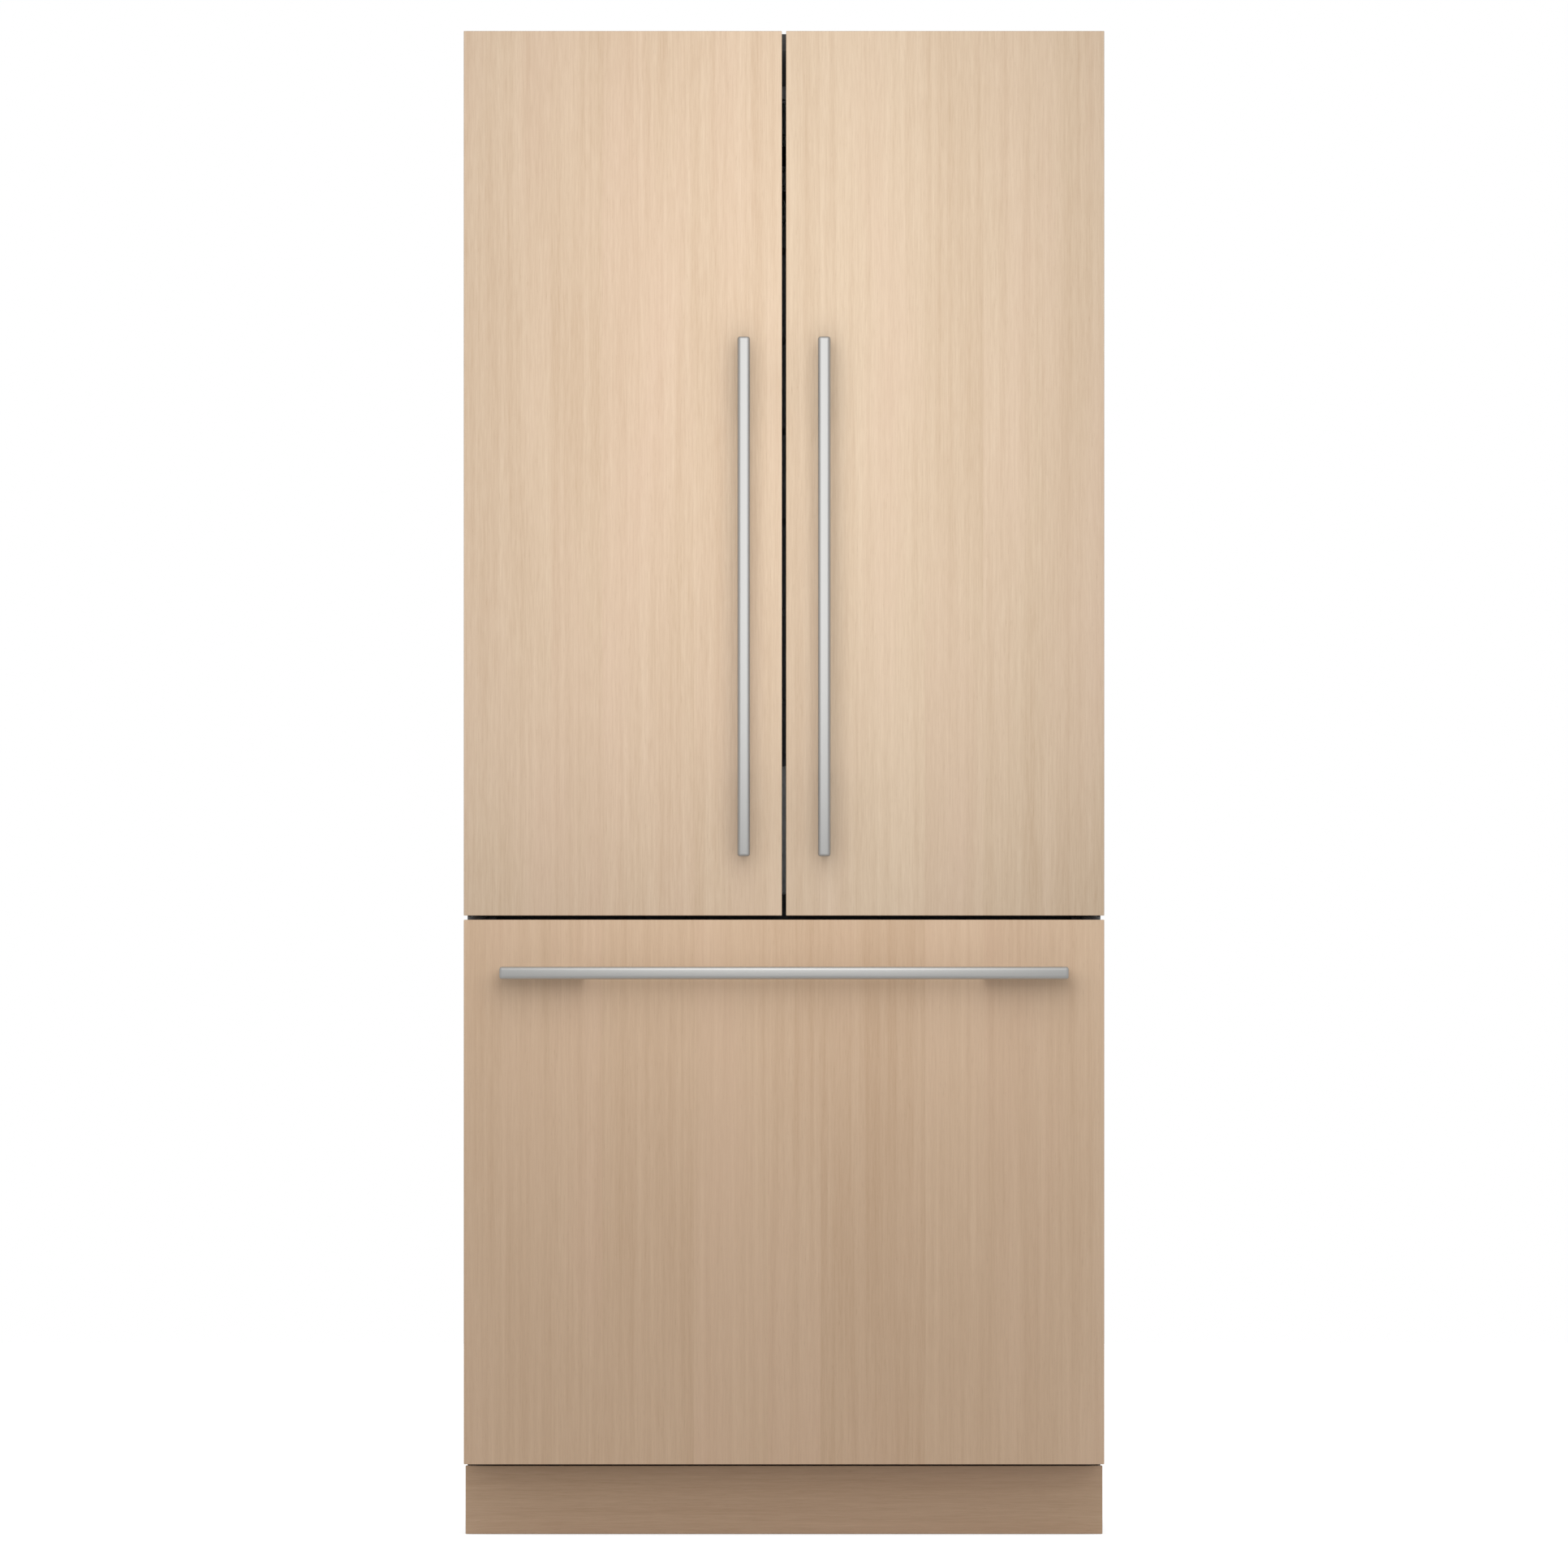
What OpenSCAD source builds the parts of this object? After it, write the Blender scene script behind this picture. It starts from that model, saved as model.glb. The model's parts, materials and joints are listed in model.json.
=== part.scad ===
// Built-in french door refrigerator: two wood-faced doors over one wood-faced freezer drawer.
// Sizes are in millimetres. The floor is z = 0, +Z is up, the doors face -Y, and left is -X.

/* [Overall] */
// Width across the wood panels
total_w = 908; // [900:1:916]
// Height from the floor to the top of the door panels
total_h = 2134; // [2110:1:2150]
// Depth from the panel fronts to the cabinet's back
body_d = 610; // [606:1:625]
// Height of the recessed base under the drawer panel
kick_h = 102; // [100:1:104]
// Height of the drawer panel
drawer_h = 772; // [770:1:774]
// Visible gap between neighbouring panels
panel_gap = 6; // [5:0.5:7]

/* [Doors] */
// Thickness of a wood panel
panel_t = 19; // [17:1:20]
// Thickness of the insulated door behind its panel
door_t = 56; // [54:1:58]
// How far the toe kick stands back from the panel fronts
kick_recess = 60; // [50:1:61]

/* [Handles] */
// Width of a handle bar, seen from the front
bar_w = 18; // [14:1:22]
// Thickness of a handle bar, front to back
bar_t = 12; // [9:1:14]
// Corner radius of a handle bar
bar_r = 3.5; // [2:0.5:4]
// How far a bar's front stands out from its panel
handle_reach = 45; // [38:1:55]
// Length of each door bar
door_bar_l = 736; // [500:1:900]
// Length of the drawer bar
drawer_bar_l = 806; // [600:1:840]
// Length of the mounting foot at each end of a bar
foot_l = 120; // [60:1:150]

/* [Shelves] */
// Top of the lower pair of glass shelves
lower_shelf_z = 1385; // [1330:1:1420]
// Top of the upper pair of glass shelves
upper_shelf_z = 1690; // [1600:1:1740]

/* [Hidden] */
$fn = 48;

// depth stations, from the panel fronts to the back
front_y = -(body_d + handle_reach) / 2 + handle_reach;
skin_y = front_y + panel_t;
door_back = skin_y + door_t;
gasket_t = 10;
cab_front = door_back + gasket_t;
cab_back = front_y + body_d;

// heights
drawer_top = kick_h + drawer_h;
doors_z = drawer_top + panel_gap;
cab_top = total_h - 24;
body_z0 = doors_z + 6;
body_z1 = cab_top - 4;

// cabinet box
cab_x = total_w / 2 - 4;
sheet_t = 1.2;
liner_t = 2;
cavity_x = cab_x - 52;
cavity_back = cab_back - 57;
fridge_z = [910, cab_top - 52];
freezer_z = [160, 840];
wrap_z = 20;
foam_z = 120;
foam_gap = 0.4;
hump_y = cavity_back - 210;     // the freezer floor steps up here, over the machine space
hump_z = 314;
machine_y = hump_y + 42;
machine_top = hump_z - 40;

// door hinge axis, measured from the outer edge and the front of a panel
hinge_x = total_w / 2 - 20;
hinge_y = front_y + 40;
pin_r = 6;
pin_l = 30;
bore_gap = 0.06;
hinge_plate_z = drawer_top - 2;
hinge_plate_t = 6;

// inner faces of the doors
door_x = [5, cab_x];
gasket_w = 18;
gasket_x = [4, hinge_x - 4];
door_gasket_z = [888, cab_top - 28];
drawer_gasket_z = [134, 864];
liner_y = door_back + liner_t;
rib_w = 12;
rib_y = liner_y + 60;
rib_z = [1096, cab_top - 70];
inner_rib_x = 36;
outer_rib_x = cavity_x - 20;
bin_back_y = door_back + 111;
bin_z = [1110, 1400, 1700];
bin_h = [150, 110, 110];
bin_wall = 2.5;

// folding centre bar, stored folded back beside the left door's edge
flip_axis = [-24, front_y + 95];
flip_r = 9;
flip_l = 56;
flip_z = [915, cab_top - 72];
flip_pin_r = 3;
flip_bracket_z = [960, 1480, 2000];
guide_pin_r = 4;
guide_arm = 40;

// shelves and drawers in the refrigerator
shelf_y = [door_back + 125, cavity_back - 56];
shelf_x = [8, cavity_x - 6];
frame_w = 12;
frame_h = 14;
glass_t = 4;
cover_z = 1092;
ledge_z = 1059;
divider_x = 33;
crisper_x = [46, 383];
crisper_y = [shelf_y[0] + 2, shelf_y[1] - 8];
crisper_z = [914, 1063];
crisper_wall = 3;
duct_y = cavity_back - 50;
tower_out = 5;
fridge_fan_z = 1940;
freezer_fan_z = 740;
knob_x = 150;

// freezer drawer
slide_z = 470;
slide_y = [cab_front + 8, cavity_back - 48];
freezer_bin_x = 376;
freezer_bin_y = [door_back + 22, hump_y - 13, cavity_back - 63];
freezer_bin_z = [180, 325, 517];
tray_y = [cavity_back - 268, cavity_back - 68];
tray_z = [517.2, 640];
rim = 12;

// machine space
fan_y = (machine_y + cab_back) / 2;
fan_z = 137;
condenser_x = [-350, -200];
shroud_x = -182;
shaft_r = 3;
roller_r = 20;
roller_at = [400, cab_back - 50];
foot_at = [400, cab_front + 40];
stud_r = 6;
box_x = [300, 380];
inlet_z = 150;

// ---- helpers ----

// A box between its lowest and highest corners
module block(low, high) {
    translate(low) cube(high - low);
}

// The right-hand piece and its mirror image on the left
module both_sides() {
    children();
    mirror([1, 0, 0]) children();
}

// A rectangle of w by h about the origin, with true round corners
module round_rect(w, h, r) {
    square([w - 2 * r, h], center = true);
    square([w, h - 2 * r], center = true);
    for (x = [-1, 1], y = [-1, 1]) {
        translate([x * (w / 2 - r), y * (h / 2 - r)]) circle(r);
    }
}

// A ring of rectangular section that lies against a door, in the XZ plane
module ring(low, high, width) {
    difference() {
        block(low, high);
        block([low[0] + width, low[1] - 1, low[2] + width],
              [high[0] - width, high[1] + 1, high[2] - width]);
    }
}

// An open-topped box with walls of one thickness
module tub(low, high, wall) {
    difference() {
        block(low, high);
        block(low + [wall, wall, wall], [high[0] - wall, high[1] - wall, high[2] + 1]);
    }
}

// A rod along Y from y0 to y1
module rod_y(x, z, r, y0, y1) {
    translate([x, y1, z]) rotate([90, 0, 0]) cylinder(r = r, h = y1 - y0);
}

// A fan of pitched flat blades about the Z axis
module fan(r, hub_r, depth, blades) {
    cylinder(r = hub_r, h = depth, center = true);
    intersection() {
        cylinder(r = r, h = depth, center = true);
        for (i = [0:blades - 1]) {
            rotate([0, 0, i * 360 / blades]) rotate([32, 0, 0])
                translate([hub_r - 3, -r * 0.28, -0.8]) cube([r, r * 0.56, 1.6]);
        }
    }
}

// ---- cabinet shell ----

// One folded sheet, both sides and the top, with the front frame that the gaskets seal on
module outer_wrapper() {
    color("gainsboro") {
        difference() {
            block([-cab_x, cab_front, wrap_z], [cab_x, cab_back, cab_top]);
            block([-cab_x + sheet_t, cab_front - 1, wrap_z - 1],
                  [cab_x - sheet_t, cab_back + 1, cab_top - sheet_t]);
        }
        difference() {
            block([-cab_x + 1, cab_front, foam_z - 8], [cab_x - 1, cab_front + sheet_t, cab_top - 1]);
            for (z = [fridge_z, freezer_z]) {
                block([-cavity_x, cab_front - 1, z[0]], [cavity_x, cab_front + 2, z[1]]);
            }
        }
    }
}

module rear_panel() {
    color("silver")
        block([-cab_x + sheet_t, cab_back - sheet_t, machine_top + 2],
              [cab_x - sheet_t, cab_back, cab_top - sheet_t]);
}

// Injected foam, as slabs that meet edge to edge
module cabinet_foam() {
    y0 = cab_front + sheet_t;
    y1 = cab_back - sheet_t;
    x = cavity_x + liner_t;
    back = cavity_back + liner_t;
    color("khaki") {
        both_sides() block([x, y0, foam_z], [cab_x - sheet_t, y1, cab_top - sheet_t]);
        block([-x + foam_gap, y0, fridge_z[1] + liner_t], [x - foam_gap, y1, cab_top - sheet_t]);
        block([-x + foam_gap, back + foam_gap, hump_z - liner_t + foam_gap],
              [x - foam_gap, y1, fridge_z[1] + liner_t - foam_gap]);
        block([-x + foam_gap, y0, freezer_z[1] + liner_t],
              [x - foam_gap, back, fridge_z[0] - liner_t]);
        block([-x + foam_gap, y0, foam_z],
              [x - foam_gap, hump_y + liner_t - foam_gap, freezer_z[0] - liner_t]);
        block([-x + foam_gap, hump_y + liner_t, foam_z],
              [x - foam_gap, machine_y, machine_top - foam_gap]);
        block([-x + foam_gap, hump_y + liner_t, machine_top], [x - foam_gap, y1, hump_z - liner_t]);
    }
}

module fridge_liner() {
    low = [-cavity_x, cab_front + sheet_t, fridge_z[0]];
    high = [cavity_x, cavity_back, fridge_z[1]];
    skin = [liner_t, 0, liner_t];
    color("white") {
        difference() {
            block(low - skin, high + [liner_t, liner_t, liner_t]);
            block(low - [0, 1, 0], high);
        }
        // runner ledges for the vegetable drawers, and rests for the shelf over them
        both_sides() {
            block([crisper_x[1] + 3, shelf_y[0], ledge_z - 9], [cavity_x + 1, duct_y - 1, ledge_z]);
            block([cavity_x - 14, shelf_y[0], cover_z - frame_h - 8],
                  [cavity_x + 1, duct_y - 1, cover_z - frame_h]);
        }
    }
}

module freezer_space(grow) {
    block([-cavity_x - grow, cab_front + sheet_t, freezer_z[0] - grow],
          [cavity_x + grow, hump_y + grow, freezer_z[1] + grow]);
    block([-cavity_x - grow, cab_front + sheet_t, hump_z - grow],
          [cavity_x + grow, cavity_back + grow, freezer_z[1] + grow]);
}

module freezer_liner() {
    color("white") difference() {
        freezer_space(liner_t);
        freezer_space(0);
        block([-cavity_x, cab_front, freezer_z[0]], [cavity_x, cab_front + 4, freezer_z[1]]);
    }
}

// ---- base and machine space ----

// Floor pan with side plates, roller forks and foot bosses
module base_frame() {
    side = cab_x - sheet_t;
    fork_x = [roller_at[0] - 14, roller_at[0] + 11];
    color("dimgray") difference() {
        union() {
            block([-side, cab_front + 2, wrap_z + 2], [side, cab_back - sheet_t, wrap_z + 4]);
            both_sides() {
                block([side - 3, cab_front + 2, wrap_z + 2], [side, cab_back - sheet_t, foam_z - 0.4]);
                for (x = fork_x) {
                    block([x, roller_at[1] - 16, 6], [x + 3, roller_at[1] + 16, 50]);
                }
                translate([foot_at[0], foot_at[1], wrap_z + 2]) cylinder(r = 13, h = 40);
            }
            block([-side, cab_front + 2, wrap_z + 2], [side, cab_front + 5, 34]);
        }
        both_sides() {
            block([fork_x[0] + 3, roller_at[1] - 24, 0], [fork_x[1], roller_at[1] + 24, 40]);
            translate([fork_x[0] - 1, roller_at[1], roller_r]) rotate([0, 90, 0])
                cylinder(r = 4 + bore_gap, h = 32);
            translate([foot_at[0], foot_at[1], 0]) cylinder(r = stud_r + bore_gap, h = 80);
        }
    }
}

// A roller in one piece with its axle stubs
module roller() {
    translate([roller_at[0] - 14, roller_at[1], roller_r]) rotate([0, 90, 0]) {
        cylinder(r = 4, h = 28);
        translate([0, 0, 4]) cylinder(r = roller_r, h = 20);
    }
}

module left_roller() {
    color("darkslategray") mirror([1, 0, 0]) roller();
}

module right_roller() {
    color("darkslategray") roller();
}

module levelling_foot() {
    translate([foot_at[0], foot_at[1], 0]) {
        cylinder(r = 22, h = 7);
        cylinder(r1 = 22, r2 = 11, h = 12);
        cylinder(r = 11, h = 18, $fn = 6);
        cylinder(r = stud_r, h = 88);
    }
}

module left_foot() {
    color("gray") mirror([1, 0, 0]) levelling_foot();
}

module right_foot() {
    color("gray") levelling_foot();
}

module base_grille() {
    y = [cab_front - 6, cab_front];
    color("black") difference() {
        block([-cab_x + 10, y[0], 26], [cab_x - 10, y[1], 106]);
        for (z = [36:12:84], i = [-6:5]) {
            block([i * 70 + 6, y[0] - 1, z], [i * 70 + 64, y[1] + 1, z + 6]);
        }
    }
}

// Wood board with two fixing blocks that reach the grille
module toe_kick() {
    y = front_y + kick_recess;
    color("burlywood") {
        block([-total_w / 2 + 1.5, y, 1], [total_w / 2 - 1.5, y + 16, kick_h - 4]);
        both_sides() block([280, y + 15, 26], [330, cab_front - 6, 34]);
    }
}

// Welded steel pot on its foot plate, with the three pipe stubs
module compressor() {
    at = [190, fan_y, wrap_z + 20];
    color("black") translate(at) {
        block([-105, -62, 0], [105, 62, 3]);
        rotate_extrude() union() {
            square([70, 96]);
            translate([0, 96]) square([46, 24]);
            translate([46, 96]) intersection() {
                circle(24);
                square(30);
            }
        }
        for (a = [130, 165, 200]) {
            rotate([0, 0, a]) translate([60, 0, 50 + a / 8]) rotate([0, 90, 0]) cylinder(r = 4, h = 30);
        }
    }
    color("dimgray") translate(at) block([62, -24, 30], [92, 24, 78]);
}

// Rubber grommets under the compressor's foot plate
module compressor_mounts() {
    color("black") for (x = [95, 285], y = [-50, 50]) {
        translate([x, fan_y + y, wrap_z + 4]) difference() {
            cylinder(r = 11, h = 16);
            translate([0, 0, -1]) cylinder(r = 4, h = 18);
        }
    }
}

// Fin block with its return bends
module condenser() {
    y = [machine_y + 12, cab_back - 22];
    color("silver") {
        block([condenser_x[0], y[0] + 12, wrap_z + 26], [condenser_x[1], y[1] - 12, 228]);
        for (x = [-325:25:-225], z = [60:26:216]) {
            rod_y(x, z, 4, y[0], y[1]);
        }
    }
}

// Box from the fin block to the plate with the fan's opening, and three arms that carry the motor
module fan_shroud() {
    y = [machine_y + 24, cab_back - 34];
    z = [wrap_z + 26, 228];
    axis = [shroud_x, fan_y, fan_z];
    color("dimgray") difference() {
        union() {
            block([shroud_x - 3, y[0] - 12, wrap_z + 4], [shroud_x, y[1] + 12, z[1] + 20]);
            block([condenser_x[1], y[0], z[0]], [shroud_x - 2, y[1], z[1]]);
        }
        block([condenser_x[1] - 1, y[0] + 3, z[0] + 3], [shroud_x - 3, y[1] - 3, z[1] - 3]);
        translate(axis + [-4, 0, 0]) rotate([0, 90, 0]) cylinder(r = 72, h = 6);
    }
    color("dimgray") translate(axis) rotate([0, 90, 0]) difference() {
        union() {
            for (a = [0, 120, 240]) {
                rotate([0, 0, a]) translate([14, -4, -2.6]) cube([60, 8, 2.2]);
            }
            translate([0, 0, -14]) cylinder(r = 20, h = 14);
        }
        translate([0, 0, -12]) cylinder(r = shaft_r + bore_gap, h = 13);
    }
}

module condenser_fan() {
    color("black") translate([shroud_x + 14, fan_y, fan_z]) rotate([0, 90, 0]) {
        fan(66, 18, 22, 7);
        translate([0, 0, -24]) cylinder(r = shaft_r, h = 20);
    }
}

module drain_pan() {
    color("dimgray")
        tub([condenser_x[0] - 14, machine_y + 8, wrap_z + 4],
            [condenser_x[1] + 8, cab_back - 14, wrap_z + 22], 2);
}

// Vented cover over the machine space, with a window for the mains inlet
module machine_cover() {
    y = [cab_back - sheet_t, cab_back];
    color("silver") difference() {
        block([-cab_x + sheet_t, y[0], wrap_z + 4], [cab_x - sheet_t, y[1], machine_top + 1.6]);
        for (z = [60:20:220], i = [-9:6]) {
            block([i * 40, y[0] - 1, z], [i * 40 + 30, y[1] + 1, z + 8]);
        }
        block([box_x[0] + 12, y[0] - 1, inlet_z - 22], [box_x[0] + 62, y[1] + 1, inlet_z + 22]);
    }
}

// Electronics housing with a three-pin mains inlet in its rear face
module control_box() {
    y = [machine_y + 20, cab_back - sheet_t - 0.4];
    inlet_x = box_x[0] + 37;
    color("whitesmoke") {
        difference() {
            union() {
                block([box_x[0], y[0], wrap_z + 4], [box_x[1], y[1] - 10, 235]);
                block([inlet_x - 22, y[1] - 12, inlet_z - 18], [inlet_x + 22, y[1], inlet_z + 18]);
            }
            block([inlet_x - 13, y[1] - 18, inlet_z - 9], [inlet_x + 13, y[1] + 1, inlet_z + 9]);
        }
        for (p = [[-7, -2], [0, 3], [7, -2]]) {
            block([inlet_x + p[0] - 1, y[1] - 19, inlet_z + p[1] - 2],
                  [inlet_x + p[0] + 1, y[1] - 4, inlet_z + p[1] + 2]);
        }
    }
}

// Steel angle over the cabinet's front edge: it closes the view over the doors, and two screws
// go up through it into the housing above
module top_bracket() {
    x = 395;
    y = cab_front + 2;
    color("silver") difference() {
        union() {
            block([-x, y, cab_top], [x, y + 45, cab_top + 3]);
            block([-x, y, cab_top], [x, y + 2, total_h - 1]);
        }
        for (hx = [-150, 150]) {
            translate([hx, y + 28, cab_top - 1]) cylinder(r = 3.25, h = 6);
        }
    }
}

// ---- cold air parts ----

// Radial slots of a fan's air inlet, about the Y axis
module inlet_slots(r, y) {
    for (a = [0:30:330]) {
        rotate([0, a, 0]) block([18, y - 8, -3], [r, y + 4, 3]);
    }
}

// A fan motor that hangs behind a duct cover from y0, its shaft hole towards the rear wall
module fan_motor(y0) {
    rotate([-90, 0, 0]) difference() {
        translate([0, 0, y0]) cylinder(r = 16, h = cavity_back - 28 - y0);
        translate([0, 0, cavity_back - 37.5]) cylinder(r = shaft_r + bore_gap, h = 20);
    }
}

// Cover over the rear wall with a raised air tower, a fan inlet and two shelf tracks
module fridge_air_duct() {
    x = cavity_x - 2;
    z = [fridge_z[0] + 2, fridge_z[1] - 2];
    color("whitesmoke") difference() {
        union() {
            block([-x, duct_y, z[0]], [x, duct_y + 3, z[1]]);
            both_sides() block([x - 3, duct_y, z[0]], [x, cavity_back, z[1]]);
            block([-90, duct_y - tower_out, 1110], [90, duct_y + 1, z[1] - 20]);
            both_sides() block([cavity_x - 26, duct_y - 3, 1110], [cavity_x - 12, duct_y + 1, 2000]);
        }
        block([-87, duct_y - tower_out + 3, 1113], [87, duct_y + 4, z[1] - 23]);
        for (vz = [1180:130:1830], i = [-2:2]) {
            block([i * 30 - 11, duct_y - 8, vz], [i * 30 + 11, duct_y + 4, vz + 10]);
        }
        translate([0, 0, fridge_fan_z]) inlet_slots(52, duct_y);
    }
    color("dimgray") translate([0, 0, fridge_fan_z]) fan_motor(duct_y - 3);
}

module freezer_air_duct() {
    x = cavity_x - 2;
    z = [hump_z + 2, freezer_z[1] - 2];
    color("whitesmoke") difference() {
        union() {
            block([-x, cavity_back - 42, z[0]], [x, cavity_back - 39, z[1]]);
            both_sides() block([x - 3, cavity_back - 42, z[0]], [x, cavity_back, z[1]]);
        }
        translate([0, 0, freezer_fan_z]) inlet_slots(54, cavity_back - 38);
        for (vx = [-320:80:240]) {
            block([vx, cavity_back - 46, 400], [vx + 60, cavity_back - 36, 408]);
        }
    }
    color("dimgray") translate([0, 0, freezer_fan_z]) fan_motor(cavity_back - 40);
}

// Finned coils, one behind each air duct
module evaporators() {
    color("silver") for (c = [[180, 1150, 1380], [250, 380, 620]]) {
        block([-c[0], cavity_back - 26, c[1]], [c[0], cavity_back, c[2]]);
        for (z = [c[1] + 20:30:c[2] - 10], y = [cavity_back - 20, cavity_back - 7]) {
            translate([-c[0] - 14, y, z]) rotate([0, 90, 0]) cylinder(r = 4, h = 2 * c[0] + 28);
        }
    }
}

// A fan that blows along Y, with its shaft forward in the motor
module wall_fan(r, z) {
    translate([0, cavity_back - 15, z]) rotate([90, 0, 0]) {
        fan(r, 15, 18, 7);
        cylinder(r = shaft_r, h = 22);
    }
}

module fridge_fan() {
    color("white") wall_fan(48, fridge_fan_z);
}

module freezer_fan() {
    color("white") wall_fan(50, freezer_fan_z);
}

// ---- hinges ----

// The arm of one hinge bracket, from the pivot back over the cabinet edge
module hinge_arm(back_y) {
    circle(14);
    translate([-26, 0]) square([35, back_y - hinge_y]);
}

// Top and bottom bracket on each side, each with its pin pressed in
module hinge_brackets() {
    washer_z = hinge_plate_z + hinge_plate_t;
    color("silver") both_sides() {
        translate([hinge_x, hinge_y, cab_top]) linear_extrude(4) hinge_arm(cab_front + 70);
        translate([hinge_x, hinge_y, hinge_plate_z]) linear_extrude(hinge_plate_t) hinge_arm(cab_front);
        block([hinge_x - 26, cab_front - 4, hinge_plate_z - 6],
              [hinge_x + 9, cab_front, hinge_plate_z + 12]);
        translate([hinge_x, hinge_y, washer_z - 1])
            cylinder(r = 10, h = body_z0 - washer_z + 0.7);
        translate([hinge_x, hinge_y, body_z1 - pin_l + 2])
            cylinder(r = pin_r, h = cab_top - body_z1 + pin_l);
        translate([hinge_x, hinge_y, hinge_plate_z + 1])
            cylinder(r = pin_r, h = body_z0 - hinge_plate_z + pin_l - 3);
    }
}

// ---- doors, drawn as the right-hand one ----

module door_panel() {
    block([panel_gap / 2, front_y, doors_z], [total_w / 2, skin_y, total_h]);
}

// Foamed door with the hinge bores in its ends
module door_body() {
    difference() {
        block([door_x[0], skin_y, body_z0], [door_x[1], door_back, body_z1]);
        translate([hinge_x, hinge_y, body_z1 - pin_l]) cylinder(r = pin_r + bore_gap, h = pin_l + 1);
        translate([hinge_x, hinge_y, body_z0 - 1]) cylinder(r = pin_r + bore_gap, h = pin_l + 1);
    }
}

// Inner skin with a raised frame whose upright sides carry the bins
module door_liner() {
    block([gasket_x[0] + gasket_w + 1, door_back, door_gasket_z[0] + gasket_w + 1],
          [gasket_x[1] - gasket_w - 1, liner_y, door_gasket_z[1] - gasket_w - 1]);
    ring([inner_rib_x, door_back, rib_z[0]], [outer_rib_x + rib_w, rib_y, rib_z[1]], rib_w);
}

module door_gasket() {
    ring([gasket_x[0], door_back, door_gasket_z[0]],
         [gasket_x[1], cab_front - 0.2, door_gasket_z[1]], gasket_w);
}

// A bar along Z on two feet, centred on the origin, standing on the plane y = 0
module handle(length) {
    foot_d = handle_reach - bar_t;
    translate([0, -handle_reach + bar_t / 2, -length / 2])
        linear_extrude(length) round_rect(bar_w, bar_t, bar_r);
    for (z = [-length / 2 + 2, length / 2 - foot_l - 2]) {
        translate([0, -foot_d / 2, z]) linear_extrude(foot_l) round_rect(bar_w - 5, foot_d, 2);
    }
}

module door_handle() {
    translate([57, front_y, 1332]) handle(door_bar_l);
}

module door_bins() {
    for (i = [0:2]) {
        tub([inner_rib_x + rib_w, liner_y + 2, bin_z[i]],
            [outer_rib_x, bin_back_y, bin_z[i] + bin_h[i]], bin_wall);
    }
}

module left_panel() { color("burlywood") mirror([1, 0, 0]) door_panel(); }
module left_door_body() { color("dimgray") mirror([1, 0, 0]) door_body(); }
module left_door_liner() { color("white") mirror([1, 0, 0]) door_liner(); }
module left_door_gasket() { color("gray") mirror([1, 0, 0]) door_gasket(); }
module left_handle() { color("silver") mirror([1, 0, 0]) door_handle(); }
module left_door_bins() { color("lightcyan") mirror([1, 0, 0]) door_bins(); }

module right_panel() { color("burlywood") door_panel(); }
module right_door_body() { color("dimgray") door_body(); }
module right_door_liner() { color("white") door_liner(); }
module right_door_gasket() { color("gray") door_gasket(); }
module right_handle() { color("silver") door_handle(); }
module right_door_bins() { color("lightcyan") door_bins(); }

// ---- folding centre bar ----

// Three arms on the left door, each with a knuckle and its pin
module flipper_hinges() {
    color("silver") for (z = flip_bracket_z) {
        block([flip_axis[0] - 8, liner_y, z - 10], [flip_axis[0], flip_axis[1], z + 10]);
        translate([flip_axis[0], flip_axis[1], z - 10]) cylinder(r = 8, h = 20);
        translate([flip_axis[0], flip_axis[1], z - 26]) cylinder(r = flip_pin_r, h = 52);
    }
}

// The bar points back into the cabinet, and turns a quarter turn to reach behind the right door
module flipper_bar() {
    color("silver") difference() {
        translate([flip_axis[0], flip_axis[1], 0]) union() {
            translate([0, 0, flip_z[0]]) linear_extrude(flip_z[1] - flip_z[0]) union() {
                circle(flip_r);
                translate([-flip_r, 0]) square([2 * flip_r, flip_l]);
            }
            translate([0, guide_arm, flip_z[1] - 1]) cylinder(r = guide_pin_r, h = 13);
        }
        for (z = flip_bracket_z) {
            translate([flip_axis[0], flip_axis[1], z - 12]) cylinder(r = 15, h = 24);
        }
        translate([flip_axis[0], flip_axis[1], flip_z[0] - 1])
            cylinder(r = flip_pin_r + bore_gap, h = flip_z[1] - flip_z[0] + 2);
    }
}

// Ceiling block with the two curved tracks of the bar's top pin
module flipper_guide() {
    track = 2 * guide_pin_r + 3;
    swing = norm([flip_axis[0] + hinge_x, flip_axis[1] + guide_arm - hinge_y]);
    z = [flip_z[1] + 2, fridge_z[1]];
    color("dimgray") difference() {
        block([-46, cab_front + 3, z[0]], [34, front_y + 156, z[1]]);
        translate([flip_axis[0], flip_axis[1], z[0] - 1]) difference() {
            cylinder(r = guide_arm + track / 2, h = 13);
            cylinder(r = guide_arm - track / 2, h = 13);
            translate([-100, -100, -1]) cube([100 - track / 2, 200, 15]);
            translate([-100, -100, -1]) cube([200, 100 - track / 2, 15]);
        }
        translate([-hinge_x, hinge_y, z[0] - 1]) difference() {
            cylinder(r = swing + track / 2, h = 13);
            cylinder(r = swing - track / 2, h = 13);
        }
    }
}

// ---- refrigerator interior ----

// One framed shelf that spans x0 to x1, its top at z
module shelf_frame(x0, x1, z) {
    y0 = shelf_y[0];
    y1 = shelf_y[1];
    difference() {
        block([x0, y0, z - frame_h], [x1, y1, z]);
        block([x0 + frame_w, y0 + frame_w, z - frame_h - 1], [x1 - frame_w, y1 - frame_w, z + 1]);
        block([x0 + 5, y0 + 5, z - glass_t], [x1 - 5, y1 - 5, z + 1]);
    }
}

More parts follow.
